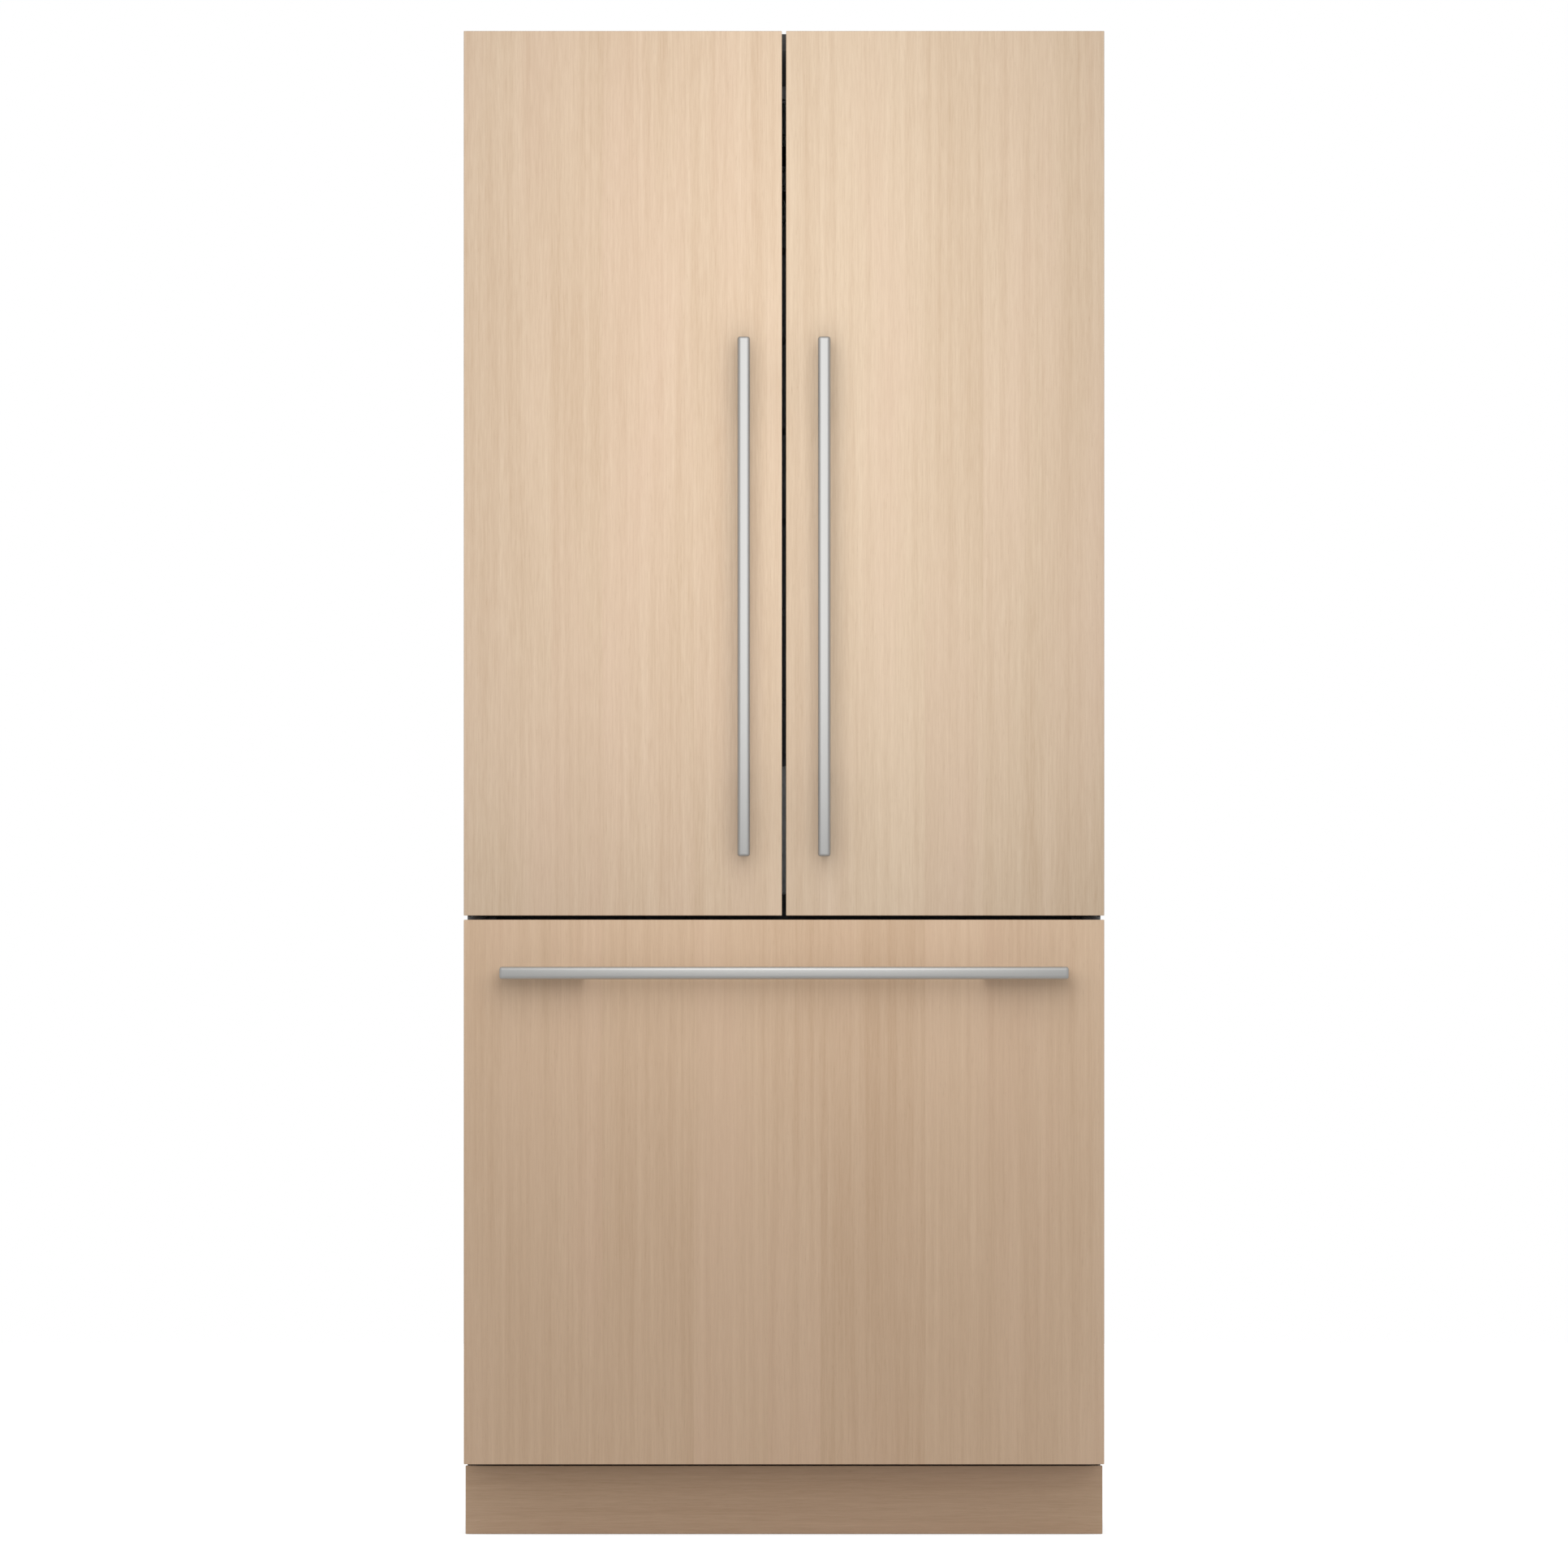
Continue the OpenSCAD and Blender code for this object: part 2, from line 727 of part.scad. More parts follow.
module shelf_glass(x0, x1, z) {
    block([x0 + 5.2, shelf_y[0] + 5.2, z - glass_t + 0.2], [x1 - 5.2, shelf_y[1] - 5.2, z]);
}

// Side arm that tapers towards the front and hooks into the wall at y1
module shelf_arm(x, y1, z) {
    translate([x, 0, z]) rotate([90, 0, 90]) linear_extrude(2.5)
        polygon([[shelf_y[0] + 20, -frame_h + 1], [y1, -frame_h + 1], [y1, -52],
                 [shelf_y[1] - 60, -40], [shelf_y[0] + 20, -24]]);
}

module shelf_frames() {
    color("silver") both_sides() for (z = [lower_shelf_z, upper_shelf_z]) {
        shelf_frame(shelf_x[0], shelf_x[1], z);
        shelf_arm(shelf_x[0] + 6, duct_y - tower_out, z);
        shelf_arm(shelf_x[1] - 12, duct_y - 3, z);
    }
}

module glass_shelves() {
    color("lightcyan") {
        both_sides() for (z = [lower_shelf_z, upper_shelf_z]) {
            shelf_glass(shelf_x[0], shelf_x[1], z);
        }
        shelf_glass(-shelf_x[1], shelf_x[1], cover_z);
    }
}

// Framed shelf over the drawers, on a hollow divider with their inner runner ledges
module crisper_cover() {
    x = divider_x;
    color("silver") {
        difference() {
            shelf_frame(-shelf_x[1], shelf_x[1], cover_z);
            both_sides() block([knob_x - 6, shelf_y[0] - 1, cover_z - 10],
                               [knob_x + 66, shelf_y[0] + 4, cover_z - 4]);
        }
        difference() {
            block([-x, shelf_y[0], fridge_z[0]], [x, shelf_y[1], cover_z - glass_t - 0.2]);
            block([-x + 3, shelf_y[0] + 3, fridge_z[0] - 1], [x - 3, shelf_y[1] - 3, cover_z]);
        }
        both_sides() block([x - 1, shelf_y[0], ledge_z - 9], [x + 10, shelf_y[1], ledge_z]);
    }
}

// A vegetable drawer: open bin, side flanges on the runners, and a pull lip
module crisper() {
    flange_z = [ledge_z + 0.2, ledge_z + 3.2];
    color("lightcyan") {
        tub([crisper_x[0], crisper_y[0], crisper_z[0]],
            [crisper_x[1], crisper_y[1], crisper_z[1]], crisper_wall);
        for (x = [[divider_x + 3, crisper_x[0] + 1], [crisper_x[1] - 1, cavity_x - 3]]) {
            block([x[0], crisper_y[0] + 14, flange_z[0]], [x[1], crisper_y[1], flange_z[1]]);
        }
        block([crisper_x[0], crisper_y[0] - 1, crisper_z[1] - 2],
              [crisper_x[1], crisper_y[0] + 2, crisper_z[1] + 6]);
    }
}

module left_crisper() { mirror([1, 0, 0]) crisper(); }
module right_crisper() { crisper(); }

// Slider that opens the vent over a vegetable drawer
module humidity_knob() {
    color("gray") {
        block([knob_x, shelf_y[0] - 7, cover_z - 12], [knob_x + 20, shelf_y[0] - 0.4, cover_z - 2]);
        block([knob_x + 4, shelf_y[0] - 1, cover_z - 9], [knob_x + 16, shelf_y[0] + 3.5, cover_z - 5]);
    }
}

module left_humidity_knob() { mirror([1, 0, 0]) humidity_knob(); }
module right_humidity_knob() { humidity_knob(); }

module light_strips() {
    color("ivory") {
        both_sides() block([cavity_x - 3, cab_front + 90, 1110], [cavity_x, cab_front + 106, 2000]);
        block([-170, cab_front + 250, fridge_z[1] - 4], [170, cab_front + 290, fridge_z[1]]);
    }
}

module control_panel() {
    color("dimgray") block([-120, front_y + 170, fridge_z[1] - 20], [120, front_y + 235, fridge_z[1]]);
}

// ---- freezer drawer ----

module drawer_panel() {
    color("burlywood") block([-total_w / 2, front_y, kick_h], [total_w / 2, skin_y, drawer_top]);
}

// Foamed drawer front with a raised inner skin
module drawer_body() {
    color("dimgray") {
        block([-cab_x, skin_y, kick_h + 6], [cab_x, door_back, drawer_top - 6]);
        block([-cavity_x + 12, door_back - 1, 176], [cavity_x - 12, door_back + 8, 824]);
    }
}

module drawer_gasket() {
    color("gray") ring([-gasket_x[1], door_back, drawer_gasket_z[0]],
                       [gasket_x[1], cab_front - 0.2, drawer_gasket_z[1]], gasket_w);
}

module drawer_handle() {
    color("silver") translate([0, front_y, drawer_top - 75]) rotate([0, 90, 0]) handle(drawer_bar_l);
}

// A channel of a drawer slide along Y on the right wall; u is the distance in from the wall
module channel(u_web, u_lip, half_h, t, y0, y1) {
    web = sort_pair(u_web, u_web + (u_lip > u_web ? t : -t));
    lip = sort_pair(u_web, u_lip);
    block([cavity_x - web[1], y0, slide_z - half_h], [cavity_x - web[0], y1, slide_z + half_h]);
    for (z = [slide_z - half_h, slide_z + half_h - t]) {
        block([cavity_x - lip[1], y0, z], [cavity_x - lip[0], y1, z + t]);
    }
}

function sort_pair(a, b) = [min(a, b), max(a, b)];

module outer_slides() {
    color("silver") both_sides() channel(0.3, 11, 23, 1.5, slide_y[0], slide_y[1]);
}

module middle_slides() {
    color("lightgray") both_sides() {
        channel(7, 3.5, 20, 1.5, slide_y[0], slide_y[1] - 10);
        channel(7, 12, 20, 1.5, slide_y[0], slide_y[1] - 10);
    }
}

// Inner members with the riser plates that carry the bin, and the brackets to the drawer front
module inner_slides() {
    color("silver") both_sides() {
        channel(15.5, 9.8, 17, 1.5, slide_y[0], slide_y[1] - 20);
        block([cavity_x - 17, door_back + 8, slide_z - 17],
              [cavity_x - 15.5, slide_y[1] - 20, freezer_bin_z[2] - 3]);
        block([cavity_x - 17, door_back + 8, slide_z - 60],
              [cavity_x - 15.5, cab_front + 6, slide_z + 60]);
        block([cavity_x - 36, door_back + 8, slide_z - 60],
              [cavity_x - 15.5, door_back + 10, slide_z + 60]);
    }
}

// Two-level bin: deep in front, shallow over the machine space
module freezer_bin() {
    x = freezer_bin_x;
    y = freezer_bin_y;
    z = freezer_bin_z;
    w = crisper_wall;
    color("whitesmoke") difference() {
        union() {
            block([-x, y[0], z[0]], [x, y[1], z[2]]);
            block([-x, y[0], z[1]], [x, y[2], z[2]]);
            block([-x - rim, y[0], z[2] - 3], [x + rim, y[2], z[2]]);
        }
        block([-x + w, y[0] + w, z[0] + w], [x - w, y[1] - w, z[2] + 1]);
        block([-x + w, y[0] + w, z[1] + w], [x - w, y[2] - w, z[2] + 1]);
    }
}

// Shallow tray that slides over the bin on its rim
module freezer_tray() {
    x = freezer_bin_x - 6;
    color("whitesmoke") {
        tub([-x, tray_y[0], tray_z[0] + 4], [x, tray_y[1], tray_z[1]], crisper_wall);
        both_sides() {
            block([x - 1, tray_y[0] + 8, tray_z[0]], [x + 12, tray_y[1] - 8, tray_z[0] + 3]);
            block([x - 1, tray_y[0] + 8, tray_z[0]], [x + 2, tray_y[1] - 8, tray_z[0] + 8]);
        }
    }
}

outer_wrapper();
rear_panel();
base_frame();
cabinet_foam();
fridge_liner();
freezer_liner();
fridge_air_duct();
freezer_air_duct();
evaporators();
compressor();
compressor_mounts();
condenser();
fan_shroud();
drain_pan();
machine_cover();
base_grille();
toe_kick();
control_box();
top_bracket();
hinge_brackets();
outer_slides();
glass_shelves();
shelf_frames();
crisper_cover();
light_strips();
control_panel();
flipper_guide();
left_panel();
left_door_body();
left_door_liner();
left_door_gasket();
left_handle();
left_door_bins();
flipper_hinges();
flipper_bar();
right_panel();
right_door_body();
right_door_liner();
right_door_gasket();
right_handle();
right_door_bins();
drawer_panel();
drawer_body();
drawer_gasket();
drawer_handle();
inner_slides();
middle_slides();
freezer_bin();
freezer_tray();
left_crisper();
right_crisper();
left_humidity_knob();
right_humidity_knob();
fridge_fan();
freezer_fan();
condenser_fan();
left_roller();
right_roller();
left_foot();
right_foot();
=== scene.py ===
import json
import math
import bpy
import bmesh
import numpy as np
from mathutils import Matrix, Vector


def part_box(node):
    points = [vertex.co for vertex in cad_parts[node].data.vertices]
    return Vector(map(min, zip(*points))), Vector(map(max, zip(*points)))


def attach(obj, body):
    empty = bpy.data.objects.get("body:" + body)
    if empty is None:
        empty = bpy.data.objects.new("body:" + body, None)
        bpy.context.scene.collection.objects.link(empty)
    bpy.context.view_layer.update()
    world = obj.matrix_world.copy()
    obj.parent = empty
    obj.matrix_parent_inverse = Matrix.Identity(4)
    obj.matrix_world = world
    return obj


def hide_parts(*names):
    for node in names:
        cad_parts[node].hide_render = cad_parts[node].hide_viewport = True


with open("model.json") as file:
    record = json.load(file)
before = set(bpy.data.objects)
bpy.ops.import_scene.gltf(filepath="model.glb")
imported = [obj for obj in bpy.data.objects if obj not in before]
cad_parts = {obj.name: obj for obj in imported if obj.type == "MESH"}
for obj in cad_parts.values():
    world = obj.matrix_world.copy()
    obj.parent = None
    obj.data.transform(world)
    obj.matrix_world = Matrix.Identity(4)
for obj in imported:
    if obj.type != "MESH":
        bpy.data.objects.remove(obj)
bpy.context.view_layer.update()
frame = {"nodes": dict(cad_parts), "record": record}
print("frame loaded:", len(frame["nodes"]), "parts")


# ---- camera, floor and lights ----
# lengths in metres: the camera stands far off on the centre line

studio = {"cameraAway": 27.0, "aimHeight": 1.0665, "frameHeight": 2.2228, "sensor": 36.0, "floorHalf": 9.0,
          "skyLight": 0.62, "floorLift": 0.66, "stripPower": 6.4, "stripSize": (0.80, 1.6),
          "stripAway": 0.72, "stripHeight": 1.72, "stripColour": (1.0, 0.99, 0.97)}


def inScene(name, data):
    obj = bpy.data.objects.new(name, data)
    bpy.context.scene.collection.objects.link(obj)
    return obj


def makeCamera(frontY):
    data = bpy.data.cameras.new("mainCamera")
    data.sensor_width = studio["sensor"]
    data.lens = studio["sensor"] * studio["cameraAway"] / studio["frameHeight"]
    data.clip_start, data.clip_end = 1.0, 200.0
    camera = inScene("mainCamera", data)
    camera.location = (0.0, frontY - studio["cameraAway"], studio["aimHeight"])
    camera.rotation_euler = (math.pi / 2, 0.0, 0.0)
    bpy.context.scene.camera = camera


def areaLight(name, at, target, size, power, colour):
    data = bpy.data.lights.new(name, "AREA")
    data.shape = "RECTANGLE"
    data.size, data.size_y = size
    data.energy, data.color = power, colour
    lamp = inScene(name, data)
    lamp.visible_camera = False
    lamp.location = at
    lamp.rotation_euler = (Vector(target) - Vector(at)).to_track_quat("-Z", "Y").to_euler()


def toCamera(tree, hidden, seen):
    # one shader for the camera's own rays and another for the light
    ray = addNode(tree, "ShaderNodeLightPath").outputs["Is Camera Ray"]
    inputs = {0: ray, 1: hidden.outputs[0], 2: seen.outputs[0]}
    return addNode(tree, "ShaderNodeMixShader", inputs).outputs[0]


def makeSky():
    # plain white behind the object, and a softer white for what lights it
    world = bpy.data.worlds.new("sky")
    world.use_nodes = True
    tree = world.node_tree
    back = tree.nodes["Background"]
    back.inputs["Strength"].default_value = studio["skyLight"]
    seen = addNode(tree, "ShaderNodeBackground", {"Strength": 1.0})
    for b in (back, seen):
        b.inputs["Color"].default_value = (1.0, 1.0, 1.0, 1.0)
    tree.links.new(toCamera(tree, back, seen), tree.nodes["World Output"].inputs["Surface"])
    bpy.context.scene.world = world


def makeFloor():
    h = studio["floorHalf"]
    mesh = bpy.data.meshes.new("floor")
    mesh.from_pydata([(-h, -h, 0), (h, -h, 0), (h, h, 0), (-h, h, 0)], [], [(0, 1, 2, 3)])
    floor = inScene("floor", mesh)
    mat, tree, shader, _ = newMaterial("floorPaper", 0.9)
    shader.inputs["Specular IOR Level"].default_value = 0.1
    shader.inputs["Base Color"].default_value = (0.86, 0.86, 0.86, 1.0)
    lift = addNode(tree, "ShaderNodeEmission", {"Strength": studio["floorLift"]})
    dark = addNode(tree, "ShaderNodeEmission", {"Strength": 0.0})
    total = addNode(tree, "ShaderNodeAddShader", {0: shader.outputs[0], 1: toCamera(tree, dark, lift)})
    tree.links.new(total.outputs[0], tree.nodes["Material Output"].inputs["Surface"])
    mesh.materials.append(mat)


# ---- shader helpers ----

def addNode(tree, kind, inputs=None, **settings):
    # inputs holds numbers, colours, or sockets to link
    made = tree.nodes.new(kind)
    for key, value in settings.items():
        setattr(made, key, value)
    for key, value in (inputs or {}).items():
        if isinstance(value, bpy.types.NodeSocket):
            tree.links.new(value, made.inputs[key])
        else:
            made.inputs[key].default_value = value
    return made


def mathNode(tree, operation, a, b=0.0, c=0.0, clamp=False):
    inputs = {0: a, 1: b, 2: c}
    return addNode(tree, "ShaderNodeMath", inputs, operation=operation, use_clamp=clamp).outputs[0]


def scaledPoint(tree, point, scale):
    return addNode(tree, "ShaderNodeVectorMath", {0: point, 1: scale}, operation="MULTIPLY").outputs[0]


def noiseValue(tree, point, scale=1.0, detail=3.0, rough=0.55):
    made = addNode(tree, "ShaderNodeTexNoise", {"Vector": point, "Scale": scale, "Detail": detail,
                                                "Roughness": rough})
    return made.outputs["Fac"]


def colourMix(tree, factor, first, second, blend="MIX"):
    first, second = ((*c, 1.0) if isinstance(c, tuple) else c for c in (first, second))
    inputs = {0: factor, 6: first, 7: second}
    return addNode(tree, "ShaderNodeMix", inputs, data_type="RGBA", blend_type=blend).outputs[2]


def rangeValue(tree, value, low, high):
    # maps 0..1 to low..high
    return mathNode(tree, "MULTIPLY_ADD", value, high - low, low)


def bumpNormal(tree, height, distance, strength=1.0):
    return addNode(tree, "ShaderNodeBump", {"Height": height, "Distance": distance,
                                            "Strength": strength}).outputs[0]


def newGroup(name, inputs, outputs):
    group = bpy.data.node_groups.new(name, "ShaderNodeTree")
    for label, kind, value in inputs:
        group.interface.new_socket(label, in_out="INPUT", socket_type=kind).default_value = value
    for label, kind in outputs:
        group.interface.new_socket(label, in_out="OUTPUT", socket_type=kind)
    return group, group.nodes.new("NodeGroupInput").outputs, group.nodes.new("NodeGroupOutput").inputs


def useGroup(tree, group, inputs):
    return addNode(tree, "ShaderNodeGroup", inputs, node_tree=group).outputs


def newMaterial(name, rough=0.5, metal=0.0):
    mat = bpy.data.materials.new(name)
    mat.use_nodes = True
    shader = mat.node_tree.nodes["Principled BSDF"]
    shader.inputs["Roughness"].default_value = rough
    shader.inputs["Metallic"].default_value = metal
    point = addNode(mat.node_tree, "ShaderNodeTexCoord").outputs["Object"]
    return mat, mat.node_tree, shader, point


def feed(tree, shader, **sockets):
    names = {"colour": "Base Color", "rough": "Roughness", "normal": "Normal", "alpha": "Alpha"}
    for key, socket in sockets.items():
        tree.links.new(socket, shader.inputs[names[key]])


# ---- shared effects ----

def makeWoodFigure():
    # rift-cut veneer: tone steps from leaf to leaf, slow drifts, long streaks and short fine pores
    group, given, out = newGroup(
        "woodFigure",
        [("Vector", "NodeSocketVector", (0, 0, 0)), ("Leaf Width", "NodeSocketFloat", 0.105),
         ("Seed", "NodeSocketFloat", 0.0)],
        [("Fine", "NodeSocketFloat"), ("Streak", "NodeSocketFloat"), ("Drift", "NodeSocketFloat"),
         ("Leaf", "NodeSocketFloat"), ("Pores", "NodeSocketFloat")])
    parts = addNode(group, "ShaderNodeSeparateXYZ", {0: given["Vector"]}).outputs
    across = mathNode(group, "ADD", parts[0], parts[1])
    point = addNode(group, "ShaderNodeCombineXYZ", {0: across, 1: given["Seed"], 2: parts[2]}).outputs[0]
    sway = noiseValue(group, scaledPoint(group, point, (2.0, 1.0, 1.3)), detail=1.0)
    leafAt = mathNode(group, "MULTIPLY_ADD", mathNode(group, "SUBTRACT", sway, 0.5), 0.006, across)
    leafAt = mathNode(group, "DIVIDE", leafAt, given["Leaf Width"])
    swing = mathNode(group, "SINE", mathNode(group, "MULTIPLY", leafAt, 2.3))
    leafAt = mathNode(group, "MULTIPLY_ADD", swing, 0.22, leafAt)
    leaf = mathNode(group, "FLOOR", mathNode(group, "ADD", leafAt, given["Seed"]))
    tone = addNode(group, "ShaderNodeTexWhiteNoise", {"W": leaf}, noise_dimensions="1D").outputs["Value"]
    shift = addNode(group, "ShaderNodeCombineXYZ", {1: mathNode(group, "MULTIPLY", leaf, 3.7)}).outputs[0]
    leafPoint = addNode(group, "ShaderNodeVectorMath", {0: point, 1: shift}, operation="ADD").outputs[0]
    fine = noiseValue(group, scaledPoint(group, leafPoint, (560.0, 1.0, 26.0)), detail=4.0, rough=0.62)
    streak = noiseValue(group, scaledPoint(group, leafPoint, (120.0, 1.0, 1.7)), detail=3.0)
    drift = noiseValue(group, scaledPoint(group, leafPoint, (9.0, 1.0, 1.5)), detail=2.0, rough=0.5)
    pores = noiseValue(group, scaledPoint(group, leafPoint, (900.0, 1.0, 60.0)), detail=2.0)
    pores = mathNode(group, "MULTIPLY", mathNode(group, "SUBTRACT", pores, 0.62), 6.0, clamp=True)
    made = {"Fine": fine, "Streak": streak, "Drift": drift, "Leaf": tone, "Pores": pores}
    for label, value in made.items():
        group.links.new(value, out[label])
    return group


def makeBrushedLines():
    # hair lines drawn out along one direction, which is the small number of Stretch
    group, given, out = newGroup(
        "brushedLines",
        [("Vector", "NodeSocketVector", (0, 0, 0)), ("Stretch", "NodeSocketVector", (1800, 1800, 6))],
        [("Lines", "NodeSocketFloat"), ("Cloud", "NodeSocketFloat")])
    point = addNode(group, "ShaderNodeVectorMath", {0: given["Vector"], 1: given["Stretch"]},
                    operation="MULTIPLY").outputs[0]
    group.links.new(noiseValue(group, point, detail=3.0, rough=0.6), out["Lines"])
    group.links.new(noiseValue(group, given["Vector"], scale=7.0, detail=2.0), out["Cloud"])
    return group


def makeMouldedSkin():
    # fine leather-like grain of moulded plastic, with a slow cloud for small colour changes
    group, given, out = newGroup(
        "mouldedSkin",
        [("Vector", "NodeSocketVector", (0, 0, 0)), ("Grain Size", "NodeSocketFloat", 900.0)],
        [("Grain", "NodeSocketFloat"), ("Cloud", "NodeSocketFloat")])
    cells = addNode(group, "ShaderNodeTexVoronoi", {"Vector": given["Vector"], "Scale": given["Grain Size"]},
                    feature="SMOOTH_F1")
    group.links.new(cells.outputs["Distance"], out["Grain"])
    group.links.new(noiseValue(group, given["Vector"], scale=6.0, detail=4.0), out["Cloud"])
    return group


def makeDustFilm():
    # a mask of settled dust: most on faces that look up, broken by noise
    group, given, out = newGroup(
        "dustFilm",
        [("Vector", "NodeSocketVector", (0, 0, 0)), ("Amount", "NodeSocketFloat", 0.5)],
        [("Dust", "NodeSocketFloat")])
    normal = addNode(group, "ShaderNodeNewGeometry").outputs["Normal"]
    up = addNode(group, "ShaderNodeSeparateXYZ", {0: normal}).outputs[2]
    up = mathNode(group, "MULTIPLY_ADD", up, 0.6, 0.25, clamp=True)
    patch = noiseValue(group, given["Vector"], scale=22.0, detail=6.0, rough=0.7)
    patch = mathNode(group, "MULTIPLY", mathNode(group, "SUBTRACT", patch, 0.3), 2.2, clamp=True)
    dust = mathNode(group, "MULTIPLY", mathNode(group, "MULTIPLY", up, patch), given["Amount"], clamp=True)
    group.links.new(dust, out["Dust"])
    return group


woodFigure = makeWoodFigure()
brushedLines = makeBrushedLines()
mouldedSkin = makeMouldedSkin()
dustFilm = makeDustFilm()


# ---- materials ----

veneer = {"pale": (0.745, 0.595, 0.446), "tan": (0.560, 0.404, 0.273), "pink": (0.640, 0.440, 0.335),
          "pore": (0.42, 0.28, 0.17), "leafWidth": 0.105, "fine": 0.95, "streak": 0.80, "drift": 0.5}


def woodMaterial(name, seed, tint, leafTone=0.34, grain=1.0, turned=False):
    mat, tree, shader, point = newMaterial(name, 0.5)
    if turned:  # the toe kick's grain runs level
        turn = {"Vector": point, "Rotation": (0.0, math.pi / 2, 0.0)}
        point = addNode(tree, "ShaderNodeMapping", turn).outputs[0]
    fig = useGroup(tree, woodFigure, {"Vector": point, "Leaf Width": veneer["leafWidth"], "Seed": seed})
    fine = veneer["fine"] * grain
    tone = mathNode(tree, "MULTIPLY_ADD", fig["Fine"], fine, 0.52 - 0.5 * fine)
    for label, amount in (("Streak", veneer["streak"]), ("Leaf", leafTone), ("Drift", veneer["drift"])):
        centred = mathNode(tree, "SUBTRACT", fig[label], 0.5)
        tone = mathNode(tree, "MULTIPLY_ADD", centred, amount, tone)
    tone = mathNode(tree, "MULTIPLY", tone, 1.0, clamp=True)
    colour = colourMix(tree, tone, veneer["tan"], veneer["pale"])
    blush = mathNode(tree, "MULTIPLY", mathNode(tree, "SUBTRACT", fig["Drift"], 0.48), 1.6, clamp=True)
    colour = colourMix(tree, mathNode(tree, "MULTIPLY", blush, 0.55), colour, veneer["pink"])
    colour = colourMix(tree, mathNode(tree, "MULTIPLY", fig["Pores"], 0.28), colour, veneer["pore"])
    colour = colourMix(tree, 1.0, colour, tint, "MULTIPLY")
    rough = rangeValue(tree, fig["Fine"], 0.42, 0.62)
    height = mathNode(tree, "SUBTRACT", fig["Fine"], fig["Pores"])
    feed(tree, shader, colour=colour, rough=rough, normal=bumpNormal(tree, height, 0.00006, 0.6))
    shader.inputs["Specular IOR Level"].default_value = 0.32
    return mat


def dusty(tree, point, tint, amount, dustColour):
    film = useGroup(tree, dustFilm, {"Vector": point, "Amount": amount})["Dust"]
    return film, colourMix(tree, film, tint, dustColour)


def shaded(colour, factor):
    return tuple(min(1.0, c * factor) for c in colour)


def brushedMetal(name, colour, rough, stretch, dust=0.0):
    mat, tree, shader, point = newMaterial(name, rough, 1.0)
    brushed = useGroup(tree, brushedLines, {"Vector": point, "Stretch": stretch})
    tint = colourMix(tree, brushed["Lines"], shaded(colour, 0.82), colour)
    tint = colourMix(tree, rangeValue(tree, brushed["Cloud"], 0.0, 0.25), tint, shaded(colour, 0.9))
    roughness = rangeValue(tree, brushed["Lines"], rough - 0.06, rough + 0.10)
    if dust:
        film, tint = dusty(tree, point, tint, dust, (0.35, 0.32, 0.28))
        roughness = mathNode(tree, "MULTIPLY_ADD", film, 0.3, roughness, clamp=True)
    feed(tree, shader, colour=tint, rough=roughness, normal=bumpNormal(tree, brushed["Lines"], 0.00002, 0.5))
    return mat


def zincMaterial(name):
    # hot-dip zinc: flat crystals of several centimetres, each with its own shade
    mat, tree, shader, point = newMaterial(name, 0.4, 1.0)
    warp = addNode(tree, "ShaderNodeTexNoise", {"Vector": point, "Scale": 30.0, "Detail": 3.0})
    bent = addNode(tree, "ShaderNodeVectorMath", {0: warp.outputs["Color"], 1: (0.012,) * 3, 2: point},
                   operation="MULTIPLY_ADD").outputs[0]
    cells = addNode(tree, "ShaderNodeTexVoronoi", {"Vector": bent, "Scale": 120.0})
    shade = addNode(tree, "ShaderNodeSeparateColor", {0: cells.outputs["Color"]}).outputs[0]
    colour = colourMix(tree, shade, (0.60, 0.62, 0.635), (0.70, 0.72, 0.735))
    film, colour = dusty(tree, point, colour, 0.35, (0.36, 0.34, 0.31))
    feed(tree, shader, colour=colour, rough=rangeValue(tree, shade, 0.34, 0.46),
         normal=bumpNormal(tree, shade, 0.00002, 0.3))
    return mat


def paintedMetal(name, colour, rough, dust=0.3):
    # baked paint: orange peel, a slow change of tone and a little dust
    mat, tree, shader, point = newMaterial(name, rough)
    peel = noiseValue(tree, point, scale=420.0, detail=2.0)
    cloud = noiseValue(tree, point, scale=3.0, detail=4.0)
    tint = colourMix(tree, cloud, shaded(colour, 0.93), shaded(colour, 1.05))
    film, tint = dusty(tree, point, tint, dust, (0.42, 0.39, 0.35))
    feed(tree, shader, colour=tint, rough=mathNode(tree, "MULTIPLY_ADD", film, 0.35, rough, clamp=True),
         normal=bumpNormal(tree, peel, 0.00012, 0.35))
    return mat


def mouldedPlastic(name, colour, rough, dust=0.0, grain=900.0, depth=0.00005, coat=0.0):
    mat, tree, shader, point = newMaterial(name, rough)
    skin = useGroup(tree, mouldedSkin, {"Vector": point, "Grain Size": grain})
    tint = colourMix(tree, skin["Cloud"], shaded(colour, 0.94), shaded(colour, 1.04))
    roughness = rangeValue(tree, skin["Cloud"], rough - 0.04, rough + 0.06)
    if dust:
        tint = dusty(tree, point, tint, dust, (0.36, 0.33, 0.29))[1]
    feed(tree, shader, colour=tint, rough=roughness, normal=bumpNormal(tree, skin["Grain"], depth, 0.5))
    shader.inputs["Coat Weight"].default_value = coat
    shader.inputs["Coat Roughness"].default_value = 0.12
    return mat


def rubberMaterial(name, colour):
    mat, tree, shader, point = newMaterial(name, 0.62)
    bloom = noiseValue(tree, point, scale=60.0, detail=5.0, rough=0.7)
    tint = colourMix(tree, bloom, shaded(colour, 0.8), shaded(colour, 1.15))
    feed(tree, shader, colour=tint, rough=rangeValue(tree, bloom, 0.52, 0.72),
         normal=bumpNormal(tree, noiseValue(tree, point, scale=1500.0), 0.00004, 0.4))
    return mat


